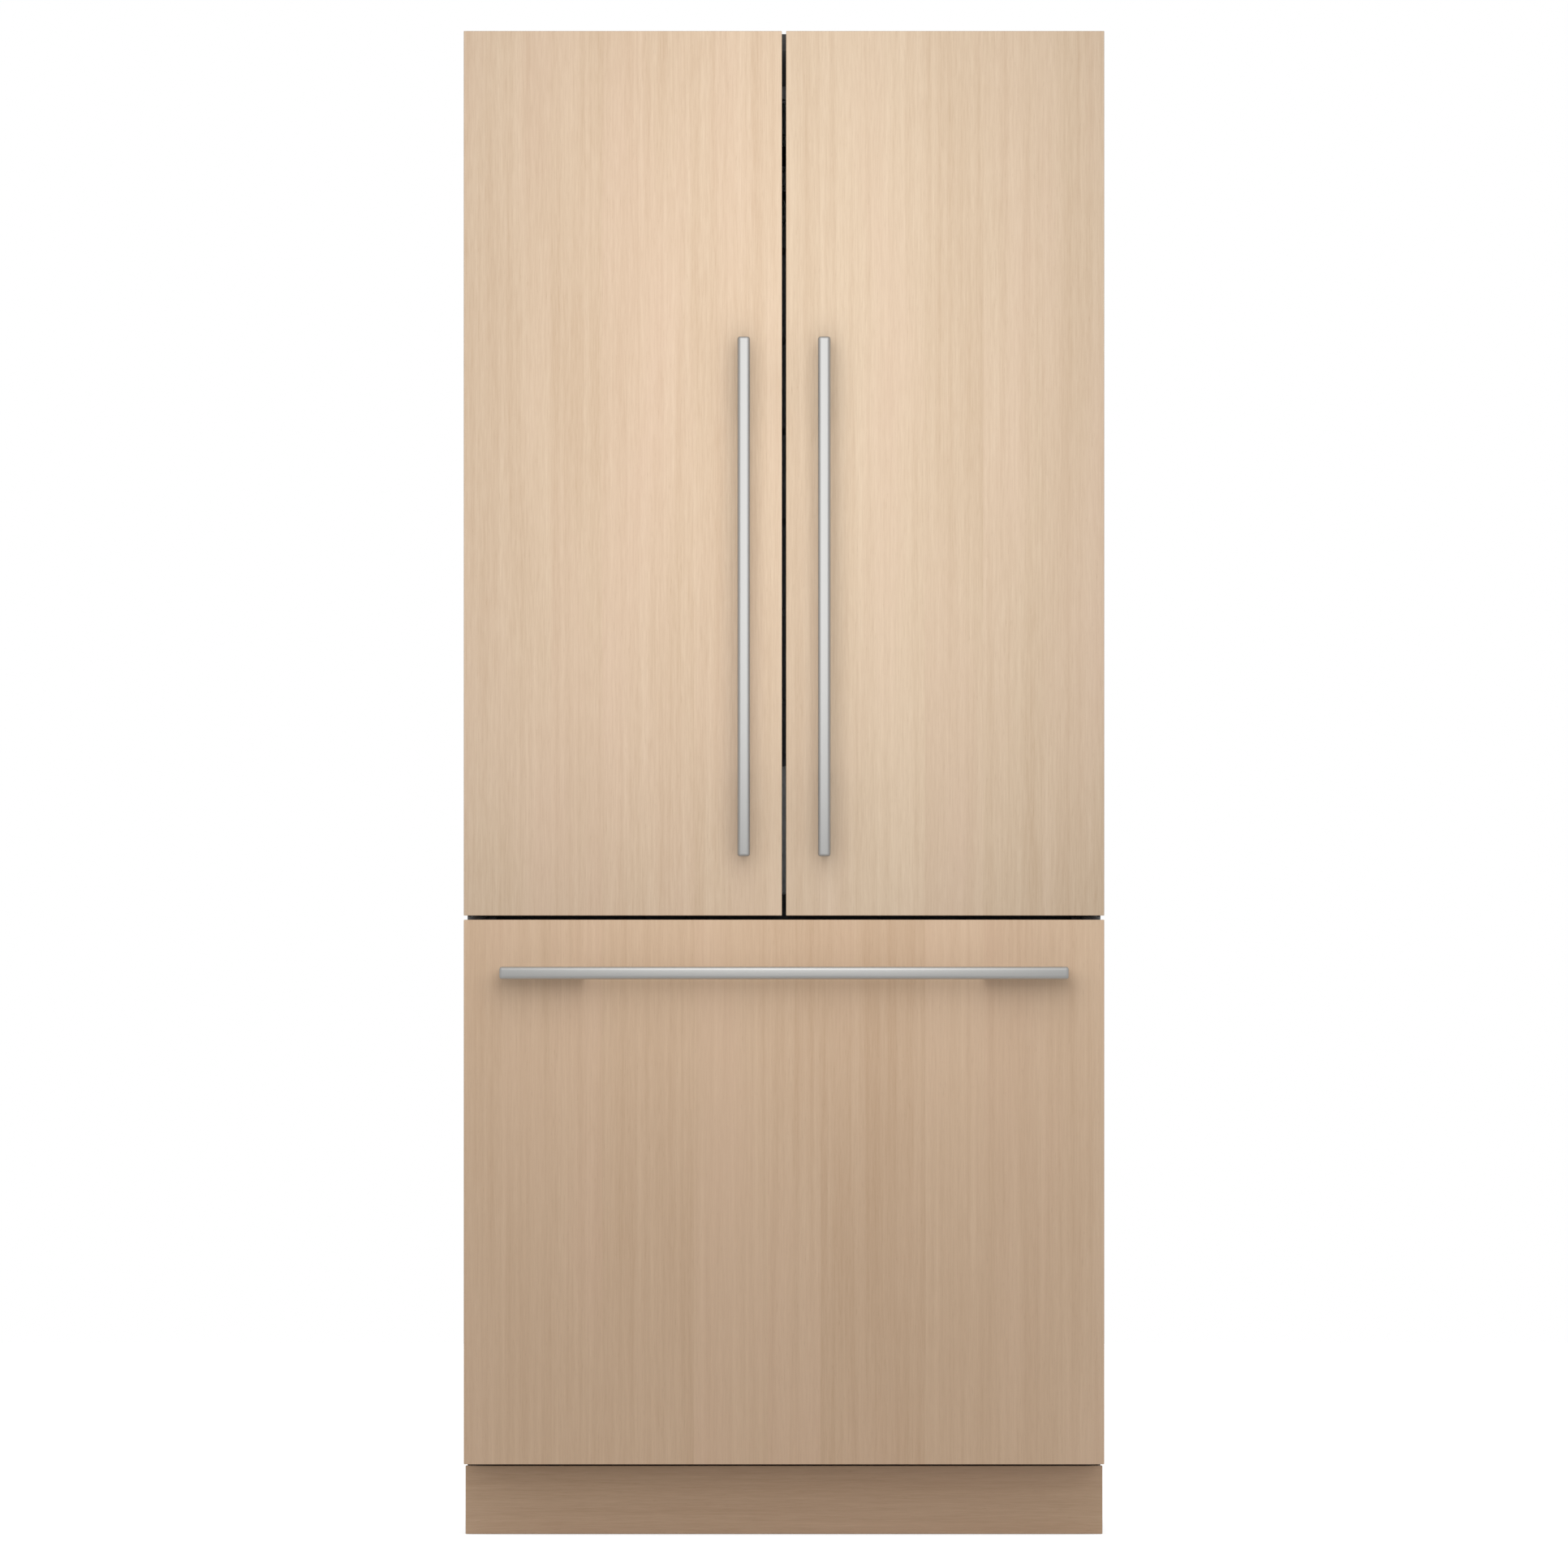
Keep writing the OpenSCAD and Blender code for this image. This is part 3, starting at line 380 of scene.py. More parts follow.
def clearMaterial(name, tint, rough, ior, haze):
    # glass or clear plastic, a little hazier in patches
    mat, tree, shader, point = newMaterial(name, rough)
    smear = noiseValue(tree, point, scale=9.0, detail=5.0, rough=0.65)
    colour = colourMix(tree, smear, tint, shaded(tint, 1.03))
    feed(tree, shader, colour=colour, rough=rangeValue(tree, smear, rough, rough + haze),
         normal=bumpNormal(tree, smear, 0.0002, 0.15))
    shader.inputs["Transmission Weight"].default_value = 0.92
    shader.inputs["IOR"].default_value = ior
    return mat


def thinClearMaterial(name, tint, rough, alpha):
    # a thin clear moulding: mostly seen through, denser where the surface is smeared
    mat, tree, shader, point = newMaterial(name, rough)
    smear = noiseValue(tree, point, scale=11.0, detail=5.0, rough=0.65)
    colour = colourMix(tree, smear, shaded(tint, 0.94), tint)
    feed(tree, shader, colour=colour, rough=rangeValue(tree, smear, rough, rough + 0.08),
         alpha=rangeValue(tree, smear, alpha - 0.04, alpha + 0.05),
         normal=bumpNormal(tree, smear, 0.0002, 0.15))
    return mat


def finMaterial(name, pitch):
    # aluminium fins: painted shade in the slots between fins and painted highlights on their edges, repeated
    # along X
    mat, tree, shader, point = newMaterial(name, 0.35, 1.0)
    across = addNode(tree, "ShaderNodeSeparateXYZ", {0: point}).outputs[0]
    slotShadeEdgeLight = mathNode(tree, "PINGPONG", mathNode(tree, "DIVIDE", across, pitch), 0.5)
    cloud = noiseValue(tree, point, scale=40.0, detail=5.0)
    # painted shade in the slots and painted light on the fin edges
    colour = colourMix(tree, mathNode(tree, "MULTIPLY", slotShadeEdgeLight, 2.0), (0.50, 0.51, 0.52), (0.80, 0.81, 0.82))
    colour = colourMix(tree, mathNode(tree, "MULTIPLY", cloud, 0.4), colour, (0.45, 0.44, 0.42))
    feed(tree, shader, colour=colour, rough=rangeValue(tree, cloud, 0.28, 0.5))
    return mat


def foamMaterial(name):
    mat, tree, shader, point = newMaterial(name, 0.9)
    cells = addNode(tree, "ShaderNodeTexVoronoi", {"Vector": point, "Scale": 900.0}).outputs["Distance"]
    cloud = noiseValue(tree, point, scale=12.0, detail=4.0)
    colour = colourMix(tree, cloud, (0.72, 0.60, 0.33), (0.84, 0.75, 0.50))
    feed(tree, shader, colour=colour, rough=rangeValue(tree, cells, 0.8, 0.95),
         normal=bumpNormal(tree, cells, 0.0003, 0.6))
    return mat


def lensMaterial(name):
    # ribbed diffuser over the lamps; its colour follows the ribs, painted shade in the troughs and painted
    # light on the crests
    mat, tree, shader, point = newMaterial(name, 0.3)
    parts = addNode(tree, "ShaderNodeSeparateXYZ", {0: point}).outputs
    along = mathNode(tree, "ADD", parts[2], parts[0])
    ribs = mathNode(tree, "SINE", mathNode(tree, "MULTIPLY", along, 2400.0))
    colour = colourMix(tree, rangeValue(tree, ribs, 0.35, 0.65), (0.90, 0.89, 0.84), (1.0, 0.99, 0.95))
    feed(tree, shader, colour=colour, normal=bumpNormal(tree, ribs, 0.0002, 0.5),
         rough=rangeValue(tree, noiseValue(tree, point, scale=30.0), 0.25, 0.4))
    return mat


finishes = {  # how each material is made, and what it is given
    "doorWoodLeft": (woodMaterial, 3.0, (1.03, 1.03, 1.03)),
    "doorWoodRight": (woodMaterial, 8.0, (0.97, 0.97, 0.96)),
    "drawerWood": (woodMaterial, 14.0, (1.078, 1.013, 0.962), 0.2, 0.65),
    "kickWood": (woodMaterial, 21.0, (1.0, 0.91, 0.84), 0.1, 1.0, True),
    # one satin steel in two copies: the upright bars painted darker (painted shade) and the level bar painted
    # lighter (painted light)
    "handleSteelUpright": (brushedMetal, (0.50, 0.50, 0.495), 0.48, (2600, 2600, 10)),
    "handleSteelLevel": (brushedMetal, (0.60, 0.60, 0.59), 0.46, (10, 2600, 2600)),
    "sheetPaint": (paintedMetal, (0.55, 0.56, 0.56), 0.42),
    # near-black paint for the front frame and flipper bar: partly their own colour, partly painted shade for
    # the deep door gaps
    "frameDark": (paintedMetal, (0.035, 0.035, 0.036), 0.5, 0.02),
    # near-black bracket paint: partly the brackets' own colour, partly painted shade for the dark ends of the
    # door gaps
    "bracketPaint": (paintedMetal, (0.05, 0.05, 0.052), 0.5, 0.2),
    "zincSheet": (zincMaterial,),
    "springSteel": (brushedMetal, (0.66, 0.67, 0.68), 0.30, (900, 12, 900), 0.08),
    "plainSteel": (brushedMetal, (0.58, 0.59, 0.60), 0.38, (300, 300, 300), 0.15),
    "foam": (foamMaterial,),
    "doorSkin": (mouldedPlastic, (0.055, 0.055, 0.058), 0.5, 0.0, 700.0, 0.0001),
    "linerWhite": (mouldedPlastic, (0.86, 0.87, 0.87), 0.22, 0.0, 500.0, 0.00002, 0.3),
    "ductWhite": (mouldedPlastic, (0.83, 0.84, 0.85), 0.34, 0.0, 800.0, 0.00006),
    "trimGrey": (mouldedPlastic, (0.36, 0.37, 0.38), 0.42),
    "blackPlastic": (mouldedPlastic, (0.028, 0.028, 0.03), 0.5, 0.35),
    "fanPlastic": (mouldedPlastic, (0.07, 0.072, 0.075), 0.4, 0.1),
    "blackEnamel": (paintedMetal, (0.018, 0.018, 0.02), 0.3, 0.4),
    "basePaint": (paintedMetal, (0.05, 0.05, 0.055), 0.5, 0.6),
    "gasketRubber": (rubberMaterial, (0.085, 0.085, 0.088)),
    "mountRubber": (rubberMaterial, (0.035, 0.035, 0.035)),
    "satinTrim": (brushedMetal, (0.64, 0.65, 0.66), 0.36, (12, 1200, 1200)),
    "coilFins": (finMaterial, 0.0018),
    "copper": (brushedMetal, (0.72, 0.38, 0.24), 0.28, (200, 200, 200), 0.2),
    "shelfGlass": (clearMaterial, (0.90, 0.97, 0.95), 0.02, 1.5, 0.05),
    "binPlastic": (thinClearMaterial, (0.80, 0.87, 0.90), 0.06, 0.36),
    "lampLens": (lensMaterial,),
    "panelGloss": (mouldedPlastic, (0.022, 0.023, 0.026), 0.12, 0.0, 300.0, 0.00001, 0.8),
    "iconPale": (mouldedPlastic, (0.78, 0.82, 0.85), 0.4),
    "binWhite": (mouldedPlastic, (0.80, 0.815, 0.82), 0.36, 0.0, 800.0, 0.00005),
    "frostedFront": (thinClearMaterial, (0.84, 0.89, 0.91), 0.22, 0.58),
    "rollerNylon": (mouldedPlastic, (0.10, 0.10, 0.11), 0.5, 0.3),
    "screwSteel": (brushedMetal, (0.70, 0.70, 0.71), 0.25, (400, 400, 400)),
}
materials = {name: make(name, *given) for name, (make, *given) in finishes.items()}
print("materials ready:", len(materials))


# ---- surfaces from numpy ----

def roundedOutline(halfA, halfB, radius, arc):
    # a rectangle's outline with round corners: each corner's centre plus radius times (cos, sin)
    r = min(radius, halfA, halfB)
    turn = np.linspace(0.0, np.pi / 2, arc + 1)[None, :] + np.arange(4)[:, None] * np.pi / 2
    side = np.array([[1, 1], [-1, 1], [-1, -1], [1, -1]], float)
    a = side[:, 0:1] * (halfA - r) + r * np.cos(turn)
    b = side[:, 1:2] * (halfB - r) + r * np.sin(turn)
    return np.stack([a.ravel(), b.ravel()], axis=1)


def gridFaces(rows, columns, closeRows, closeColumns):
    # quads between neighbouring rows and columns of a grid of points
    i = np.arange(rows if closeRows else rows - 1)[:, None]
    j = np.arange(columns if closeColumns else columns - 1)[None, :]
    nextI, nextJ = (i + 1) % rows, (j + 1) % columns
    start, end = i * columns, nextI * columns
    return np.stack([start + j, start + nextJ, end + nextJ, end + j], axis=-1).reshape(-1, 4).tolist()


def closedLoft(rings, loop=False, closeColumns=True):
    # rings of points in order, joined side to side; a face closes each end unless the rings make a loop
    rows, columns = rings.shape[:2]
    faces = gridFaces(rows, columns, loop, closeColumns)
    if not loop:
        faces += [list(range(columns))[::-1], list(range((rows - 1) * columns, rows * columns))]
    return rings.reshape(-1, 3), faces


axisOrder = {"z": (0, 1, 2), "y": (2, 0, 1), "x": (1, 2, 0)}


def loftRings(low, high, radius, section, axis="z", loop=False, arc=5):
    # a rounded rectangle carried along an axis: section rows are (inset from the outline, height over low)
    order = axisOrder[axis]
    low, high = np.array(low, float), np.array(high, float)
    half, centre = (high - low) / 2, (high + low) / 2
    rings = np.array([roundedOutline(half[order[0]] - inset, half[order[1]] - inset,
                                     max(radius - inset, 1e-5), arc) for inset, _ in section])
    points = np.zeros((*rings.shape[:2], 3))
    points[:, :, order[:2]] = rings + centre[list(order[:2])]
    points[:, :, order[2]] = np.array([h for _, h in section])[:, None] + low[order[2]]
    return closedLoft(points, loop)


def blockSection(height, edge, steps=3):
    # both ends of a block rounded by quarter circles of radius edge, with a flat ring inside each
    t = np.linspace(0.0, np.pi / 2, steps + 1)
    start = np.stack([edge * (1 - np.sin(t)), edge * (1 - np.cos(t))], axis=1)
    start = np.concatenate([[[edge * 1.5, 0.0]], start])
    end = np.stack([start[::-1, 0], height - start[::-1, 1]], axis=1)
    return np.concatenate([start, end]).tolist()


def softBlock(low, high, corner, edge, axis="z", arc=4):
    h = high[axisOrder[axis][2]] - low[axisOrder[axis][2]]
    return loftRings(low, high, corner, blockSection(h, edge), axis, arc=arc)


def cupSection(height, wall, foot, draft=0.0):
    # outside up from a rounded foot, over the rim, and down inside to the floor
    half = wall / 2
    t = np.linspace(0.0, np.pi / 2, 4)
    rows = [(draft + foot * (1 - math.sin(a)), foot * (1 - math.cos(a))) for a in t]
    rows += [(0.0, height - half), (half * 0.4, height), (wall - half * 0.4, height), (wall, height - half)]
    inner = [(wall + draft + foot * (1 - math.sin(a)), wall + foot * (1 - math.cos(a))) for a in t[::-1]]
    return rows + inner


def revolve(profile, centre, axis="z", sides=40, loop=False):
    # profile rows are (radius, height along the axis); a full turn, closed by faces at both ends or a ring
    order = axisOrder[axis]
    profile = np.array(profile, float)
    turn = np.linspace(0.0, 2 * np.pi, sides, endpoint=False)
    points = np.zeros((len(profile), sides, 3))
    points[:, :, order[0]] = profile[:, 0:1] * np.cos(turn)
    points[:, :, order[1]] = profile[:, 0:1] * np.sin(turn)
    points[:, :, order[2]] = profile[:, 1:2]
    return closedLoft(points + np.array(centre), loop)


def smoothPath(corners, perSpan=8):
    # Catmull-Rom curve through the corner points
    p = np.array(corners, float)
    p = np.concatenate([2 * p[:1] - p[1:2], p, 2 * p[-1:] - p[-2:-1]])
    t = np.linspace(0.0, 1.0, perSpan, endpoint=False)[None, :, None]
    a, b, c, d = (p[i:len(p) - 3 + i, None, :] for i in range(4))
    square, cube = 2 * a - 5 * b + 4 * c - d, 3 * b - a - 3 * c + d
    spans = 0.5 * (2 * b + (c - a) * t + square * t ** 2 + cube * t ** 3)
    return np.concatenate([spans.reshape(-1, 3), p[-2:-1]])


def tube(path, radius, sides=10):
    # a circle carried along the path, square to its direction
    path = np.array(path, float)
    along = np.gradient(path, axis=0)
    along /= np.linalg.norm(along, axis=1, keepdims=True)
    side = np.cross(along, np.array([0.36, 0.48, 0.80]))
    side /= np.linalg.norm(side, axis=1, keepdims=True)
    other = np.cross(along, side)
    turn = np.linspace(0.0, 2 * np.pi, sides, endpoint=False)
    ring = side[:, None, :] * np.cos(turn)[None, :, None] + other[:, None, :] * np.sin(turn)[None, :, None]
    return closedLoft(path[:, None, :] + radius * ring)


def together(*shapes):
    points, faces, start = [], [], 0
    for p, f in shapes:
        points.append(p)
        faces += [[i + start for i in face] for face in f]
        start += len(p)
    return np.concatenate(points), faces


def moved(shape, offset):
    return shape[0] + np.array(offset, float), shape[1]


def mirrored(shape):
    return shape[0] * np.array([-1.0, 1.0, 1.0]), shape[1]


def repeated(shape, places):
    # the same shape at each place
    return together(*[moved(shape, place) for place in places])


def sided(shape, side):
    return shape if side > 0 else mirrored(shape)


def aimed(shape, axis, centre):
    # a shape made about the Z axis at the origin, laid along another axis at a centre
    points = np.zeros_like(shape[0])
    points[:, list(axisOrder[axis])] = shape[0]
    return points + np.array(centre, float), shape[1]


def steppedCup(chain, halfWidth, radius, step, arc=5):
    # an open cup whose section is a chain of level and upright runs in YZ, carried along X:
    # each corner is centre - b*r*cos(t) + a*r*sin(t), and both ends close in a quarter circle of the
    # same radius; a corner that turns outward, as on the step, has the radius step
    chain = np.array(chain, float)
    run = np.diff(chain, axis=0)
    run /= np.linalg.norm(run, axis=1, keepdims=True)
    inward = np.stack([-run[:, 1], run[:, 0]], axis=1)
    a, b = run[:-1], run[1:]
    turn = np.sign(a[:, 0] * b[:, 1] - a[:, 1] * b[:, 0])
    t = np.linspace(0.0, np.pi / 2, arc + 1)
    rings = []
    for inset, x in zip(radius * (1 - np.sin(t)), halfWidth - radius * (1 - np.cos(t))):
        r = np.maximum(np.where(turn > 0, radius - inset, step + inset), 1e-5)[:, None, None]
        corner = chain[1:-1] + inset * (inward[:-1] + inward[1:])
        centre = corner[:, None, :] + r * (b - a)[:, None, :]
        bend = centre + r * (a[:, None] * np.sin(t)[:, None] - b[:, None] * np.cos(t)[:, None])
        line = np.concatenate([(chain[0] + inset * inward[0])[None], bend.reshape(-1, 2),
                               (chain[-1] + inset * inward[-1])[None]])
        rings.append(np.column_stack([np.full(len(line), x), line]))
    rings = np.array(rings)
    rings = np.concatenate([rings, (rings * np.array([-1.0, 1.0, 1.0]))[::-1]])
    return closedLoft(rings, closeColumns=False)


bodyOf = {n: b for b, listed in frame["record"]["behaviour"]["bodies"].items() for n in listed}


def placePiece(name, mesh, material, sharp, node, body=None):
    # a piece that stands for a node takes that node's body
    mesh.materials.append(materials[material])
    mesh.shade_smooth()
    mesh.set_sharp_from_angle(angle=math.radians(sharp))
    obj = inScene(name, mesh)
    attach(obj, bodyOf.get(node, body))
    if node:
        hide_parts(node)
    return obj


def makePiece(name, shape, material, node=None, body="cabinet", slot=None, sharp=35.0, wall=0.0):
    # wall is for an open sheet: its faces look into the cup, and it gets that thickness on the outside
    points, faces = shape
    mesh = bpy.data.meshes.new(name)
    mesh.from_pydata(points.tolist(), [], faces)
    built = bmesh.new()
    built.from_mesh(mesh)
    bmesh.ops.remove_doubles(built, verts=built.verts, dist=1e-6)
    bmesh.ops.recalc_face_normals(built, faces=built.faces)
    if wall:
        middle = Vector(points.mean(axis=0))
        outward = sum(f.calc_area() * f.normal.dot(f.calc_center_median() - middle) for f in built.faces)
        if outward > 0.0:
            bmesh.ops.reverse_faces(built, faces=built.faces)
    built.to_mesh(mesh)
    built.free()
    obj = placePiece(name, mesh, material, sharp, node, body)
    if wall:
        skin = obj.modifiers.new("wall", "SOLIDIFY")
        skin.thickness, skin.offset, skin.use_even_offset = wall, -1.0, True


def softened(node, material, width=0.0008, segments=2):
    # a copy of the part with its edges broken, in the real finish
    mesh = frame["nodes"][node].data.copy()
    mesh.name = node + "Soft"
    built = bmesh.new()
    built.from_mesh(mesh)
    bmesh.ops.remove_doubles(built, verts=built.verts, dist=2e-5)
    bmesh.ops.dissolve_limit(built, angle_limit=math.radians(1.0), verts=built.verts, edges=built.edges)
    built.to_mesh(mesh)
    built.free()
    mesh.materials.clear()
    obj = placePiece(node + "Soft", mesh, material, 32.0, node)
    edge = obj.modifiers.new("brokenEdges", "BEVEL")
    edge.width, edge.segments, edge.limit_method = width, segments, "ANGLE"
    edge.angle_limit = math.radians(40.0)
    edge.harden_normals = True


def corners(node):
    low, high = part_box(node)
    return np.array(low), np.array(high)


makeCamera(corners("drawer_panel")[0][1])
makeSky()
makeFloor()
stripY = corners("drawer_panel")[0][1] - studio["stripAway"]
areaLight("strip", (0.0, stripY, studio["stripHeight"]), (0.0, 0.0, studio["stripHeight"]),
          studio["stripSize"], studio["stripPower"], studio["stripColour"])
print("camera, floor and lights ready")


# ---- wood fronts ----

panelWork = {"edge": 0.0008, "corner": 0.0009}

for node, material in (("left_panel", "doorWoodLeft"), ("right_panel", "doorWoodRight"),
                       ("drawer_panel", "drawerWood")):
    shape = softBlock(*corners(node), panelWork["corner"], panelWork["edge"], "y")
    makePiece(node + "Wood", shape, material, node)
softened("toe_kick", "kickWood")


# ---- handles ----

handleWork = {"corner": 0.0052, "endEdge": 0.0036, "footCorner": 0.002, "fillet": 0.0008, "footInset": 0.0025,
              "footStart": 0.002, "footLength": 0.12, "barThick": 0.012, "overlap": 0.0006}


def handleShape(low, high, axis):
    # a bar with rounded long edges on two long feet that flare a little at the panel
    w = handleWork
    along, across = {"x": (0, 2), "z": (2, 0)}[axis]
    barHigh = high.copy()
    barHigh[1] = low[1] + w["barThick"]
    section = blockSection((high - low)[along], w["endEdge"], 4)
    shapes = [loftRings(low, barHigh, w["corner"], section, axis, arc=6)]
    depth = high[1] - barHigh[1]
    section = [(0.0, 0.0), (0.0, depth - 0.0006), (-w["fillet"] * 0.35, depth - 0.0001),
               (-w["fillet"], depth)]
    for start in (low[along] + w["footStart"], high[along] - w["footStart"] - w["footLength"]):
        footLow, footHigh = low.copy(), high.copy()
        footLow[along], footHigh[along] = start, start + w["footLength"]
        footLow[across] += w["footInset"]
        footHigh[across] -= w["footInset"]
        footLow[1] = barHigh[1] - w["overlap"]
        shapes.append(loftRings(footLow, footHigh, w["footCorner"], section, "y", arc=4))
    return together(*shapes)


# the upright bars take the darker copy of the steel and the level bar the lighter one: painted shade and
# painted light, not two metals
for node, axis, material in (("left_handle", "z", "handleSteelUpright"),
                             ("right_handle", "z", "handleSteelUpright"),
                             ("drawer_handle", "x", "handleSteelLevel")):
    makePiece(node + "Bar", handleShape(*corners(node), axis), material, node)
print("fronts and handles ready")


# ---- gaskets ----

# one side of the bellows, from the flat that sits in the door to the magnet strip and back
gasketRows = [(0.0030, 0.0), (0.0022, 0.0016), (0.0004, 0.0032), (0.0022, 0.0050), (0.0004, 0.0062),
              (0.0002, 0.0090), (0.0012, 0.0097), (0.0110, 0.0097), (0.0126, 0.0088), (0.0122, 0.0064),
              (0.0100, 0.0048), (0.0128, 0.0034), (0.0172, 0.0024), (0.0178, 0.0004), (0.0150, 0.0)]

for node in ("left_door_gasket", "right_door_gasket", "drawer_gasket"):
    bellows = loftRings(*corners(node), 0.004, gasketRows, "y", loop=True, arc=4)
    makePiece(node + "Bellows", bellows, "gasketRubber", node, sharp=60.0)


# ---- screws ----

screwWork = {"radius": 0.0042, "height": 0.0016, "socket": 0.0017, "sides": 18}


def screwHead(axis, facing, radius=screwWork["radius"], height=screwWork["height"]):
    # a domed head with a socket in its middle, standing on the origin
    w = screwWork
    t = np.linspace(0.0, np.pi / 2, 5)
    dome = np.stack([radius * np.cos(t) * 0.999 + 1e-5, height * np.sin(t)], axis=1)[:-1]
    rim = [(w["socket"], height), (w["socket"] * 0.85, height * 0.35), (1e-5, height * 0.3)]
    rows = [(radius, 0.0)] + dome.tolist() + rim
    return revolve([(r, h * facing) for r, h in rows], (0, 0, 0), axis, w["sides"])


def screwSet(name, places, axis, facing, material="screwSteel", **size):
    makePiece(name, repeated(screwHead(axis, facing, **size), places), material, slot="zinc_steel")


# ---- cabinet skin and back ----

rearWork = {"beads": 7, "pitch": 0.112, "half": 0.0055, "depth": 0.0007, "margin": 0.08, "fade": 0.035,
            "sink": 0.0001}
screwPlan = {"flush": 0.0005, "rearIn": 0.012, "rearFoot": 0.05, "rearHead": 0.02, "rearUp": 8,
             "rearTop": (-0.3, -0.15, 0.0, 0.15, 0.3),
             "coverX": (-0.435, -0.22, 0.0, 0.22, 0.435), "coverFoot": 0.012, "coverHead": 0.02,
             "bracketThick": 0.004, "topX": (0.4145, 0.4365), "topY": (-0.178, -0.145),
             "lowX": (0.413, 0.437), "lowZ": 0.881}


def beadedSheet(low, high):
    # back face: y = back - depth * cos(x')^2 inside each bead, faded in and out along z; front face flat
    w = rearWork
    beadAt = (np.arange(w["beads"]) - (w["beads"] - 1) / 2) * w["pitch"]
    across = (beadAt[:, None] + np.linspace(-1.0, 1.0, 9)[None, :] * w["half"]).ravel()
    x = np.concatenate([[low[0]], across, [high[0]]])
    ends = np.linspace(0.0, w["fade"], 7)
    z = np.concatenate([[low[2]], low[2] + w["margin"] + ends, high[2] - w["margin"] - ends[::-1], [high[2]]])
    off = np.abs(x[:, None] - beadAt[None, :]).min(axis=1) / w["half"]
    bump = np.where(off < 1.0, np.cos(np.minimum(off, 1.0) * np.pi / 2) ** 2, 0.0)
    rise = np.clip(np.minimum(z - low[2] - w["margin"], high[2] - w["margin"] - z) / w["fade"], 0.0, 1.0)
    rise = rise ** 2 * (3.0 - 2.0 * rise)
    back = high[1] - w["sink"] - w["depth"] * rise[:, None] * bump[None, :]
    rings = np.zeros((len(z), 2 * len(x), 3))
    rings[:, :, 0] = np.concatenate([x, x[::-1]])[None, :]
    rings[:, :, 1] = np.concatenate([back, np.full_like(back, low[1])], axis=1)
    rings[:, :, 2] = z[:, None]
    return closedLoft(rings)


w = screwPlan
low, high = corners("rear_panel")
makePiece("rearSheet", beadedSheet(low, high), "zincSheet", "rear_panel", sharp=20.0)
y = high[1] - w["flush"]
places = [(side * (high[0] - w["rearIn"]), y, z) for side in (-1, 1)
          for z in np.linspace(low[2] + w["rearFoot"], high[2] - w["rearHead"], w["rearUp"])]
places += [(x, y, high[2] - w["rearIn"]) for x in w["rearTop"]]
screwSet("rearScrews", places, "y", 1.0, height=w["flush"])
low, high = corners("machine_cover")
places = [(x, high[1] - w["flush"], z) for z in (low[2] + w["coverFoot"], high[2] - w["coverHead"])
          for x in w["coverX"]]
screwSet("coverScrews", places, "y", 1.0, height=w["flush"])
low, high = corners("outer_wrapper")
places = [(side * x, y, high[2] + w["bracketThick"]) for side in (-1, 1) for x in w["topX"]
          for y in w["topY"]]
screwSet("hingeScrews", places, "z", 1.0, radius=0.0055, height=0.003)
places = [(side * x, low[1] - w["bracketThick"], w["lowZ"]) for side in (-1, 1) for x in w["lowX"]]
screwSet("lowerHingeScrews", places, "y", -1.0, "blackEnamel", radius=0.004, height=0.002)


# ---- liners ----

# ledges: underside, top and reach of the rails that carry the crispers and their cover
linerWork = {"wall": 0.002, "corner": 0.014, "backCorner": 0.022, "step": 0.005, "ledgeEdge": 0.003,
             "ledges": ((1.050, 1.059, 0.012), (1.070, 1.078, 0.014)), "humpDepth": 0.147, "humpTop": 0.314}

w = linerWork
low, high = corners("fridge_liner")
depth = high[1] - low[1]
section = [(inset, depth - h) for inset, h in cupSection(depth, w["wall"], w["backCorner"])]
shapes = [loftRings(low, high, w["corner"], section, "y", arc=6)]
coverLow, coverHigh = corners("crisper_cover")
for z0, z1, reach in w["ledges"]:
    wallX = high[0] - w["wall"]
    ledge = softBlock((wallX - reach, coverLow[1], z0), (wallX + 0.0008, coverHigh[1] + 0.004, z1),
                      w["ledgeEdge"], w["ledgeEdge"], "y")
    shapes += [ledge, mirrored(ledge)]
makePiece("fridgeLinerSkin", together(*shapes), "linerWhite", "fridge_liner")

low, high = corners("freezer_liner")
low, high = low + (w["wall"], 0.0, w["wall"]), high - w["wall"]
humpY = corners("freezer_bin")[1][1] - w["humpDepth"]
chain = [(low[1], low[2]), (humpY, low[2]), (humpY, w["humpTop"]), (high[1], w["humpTop"]),
         (high[1], high[2]), (low[1], high[2])]
makePiece("freezerLinerSkin", steppedCup(chain, high[0], w["corner"], w["step"]), "linerWhite",
          "freezer_liner", wall=w["wall"])
print("cabinet skin and liners ready")


# ---- air ducts and fans ----

# recess: how far behind the duct's face its screws sit
coldFans = {"fridge": {"z": 1.94, "radius": 0.048, "recess": 0.005},
            "freezer": {"z": 0.74, "radius": 0.050, "recess": 0.0}}
ductWork = {"rings": (0.062, 0.012), "ringWidth": 0.004, "ringHeight": 0.0022, "screwIn": 0.02,
            "screwEnd": 0.03, "screwsUp": 4, "screwHeight": 0.0012}
fanWork = {"blades": 7, "camber": 0.10, "thick": 0.0016, "rootPitch": 42.0, "tipPitch": 24.0, "shaft": 0.003}


def ringRib(radius, z, y):
    # a half-round rib bent into a circle, standing on y: radius + width*cos(t), height*sin(t)
    half, t = ductWork["ringWidth"] / 2, np.linspace(0.0, np.pi, 7)
    rows = np.stack([radius + half * np.cos(t), -ductWork["ringHeight"] * np.sin(t)], axis=1).tolist()
    rows += [(radius - half, 0.0004), (radius + half, 0.0004)]
    return revolve(rows, (0.0, y, z), "y", 48, loop=True)


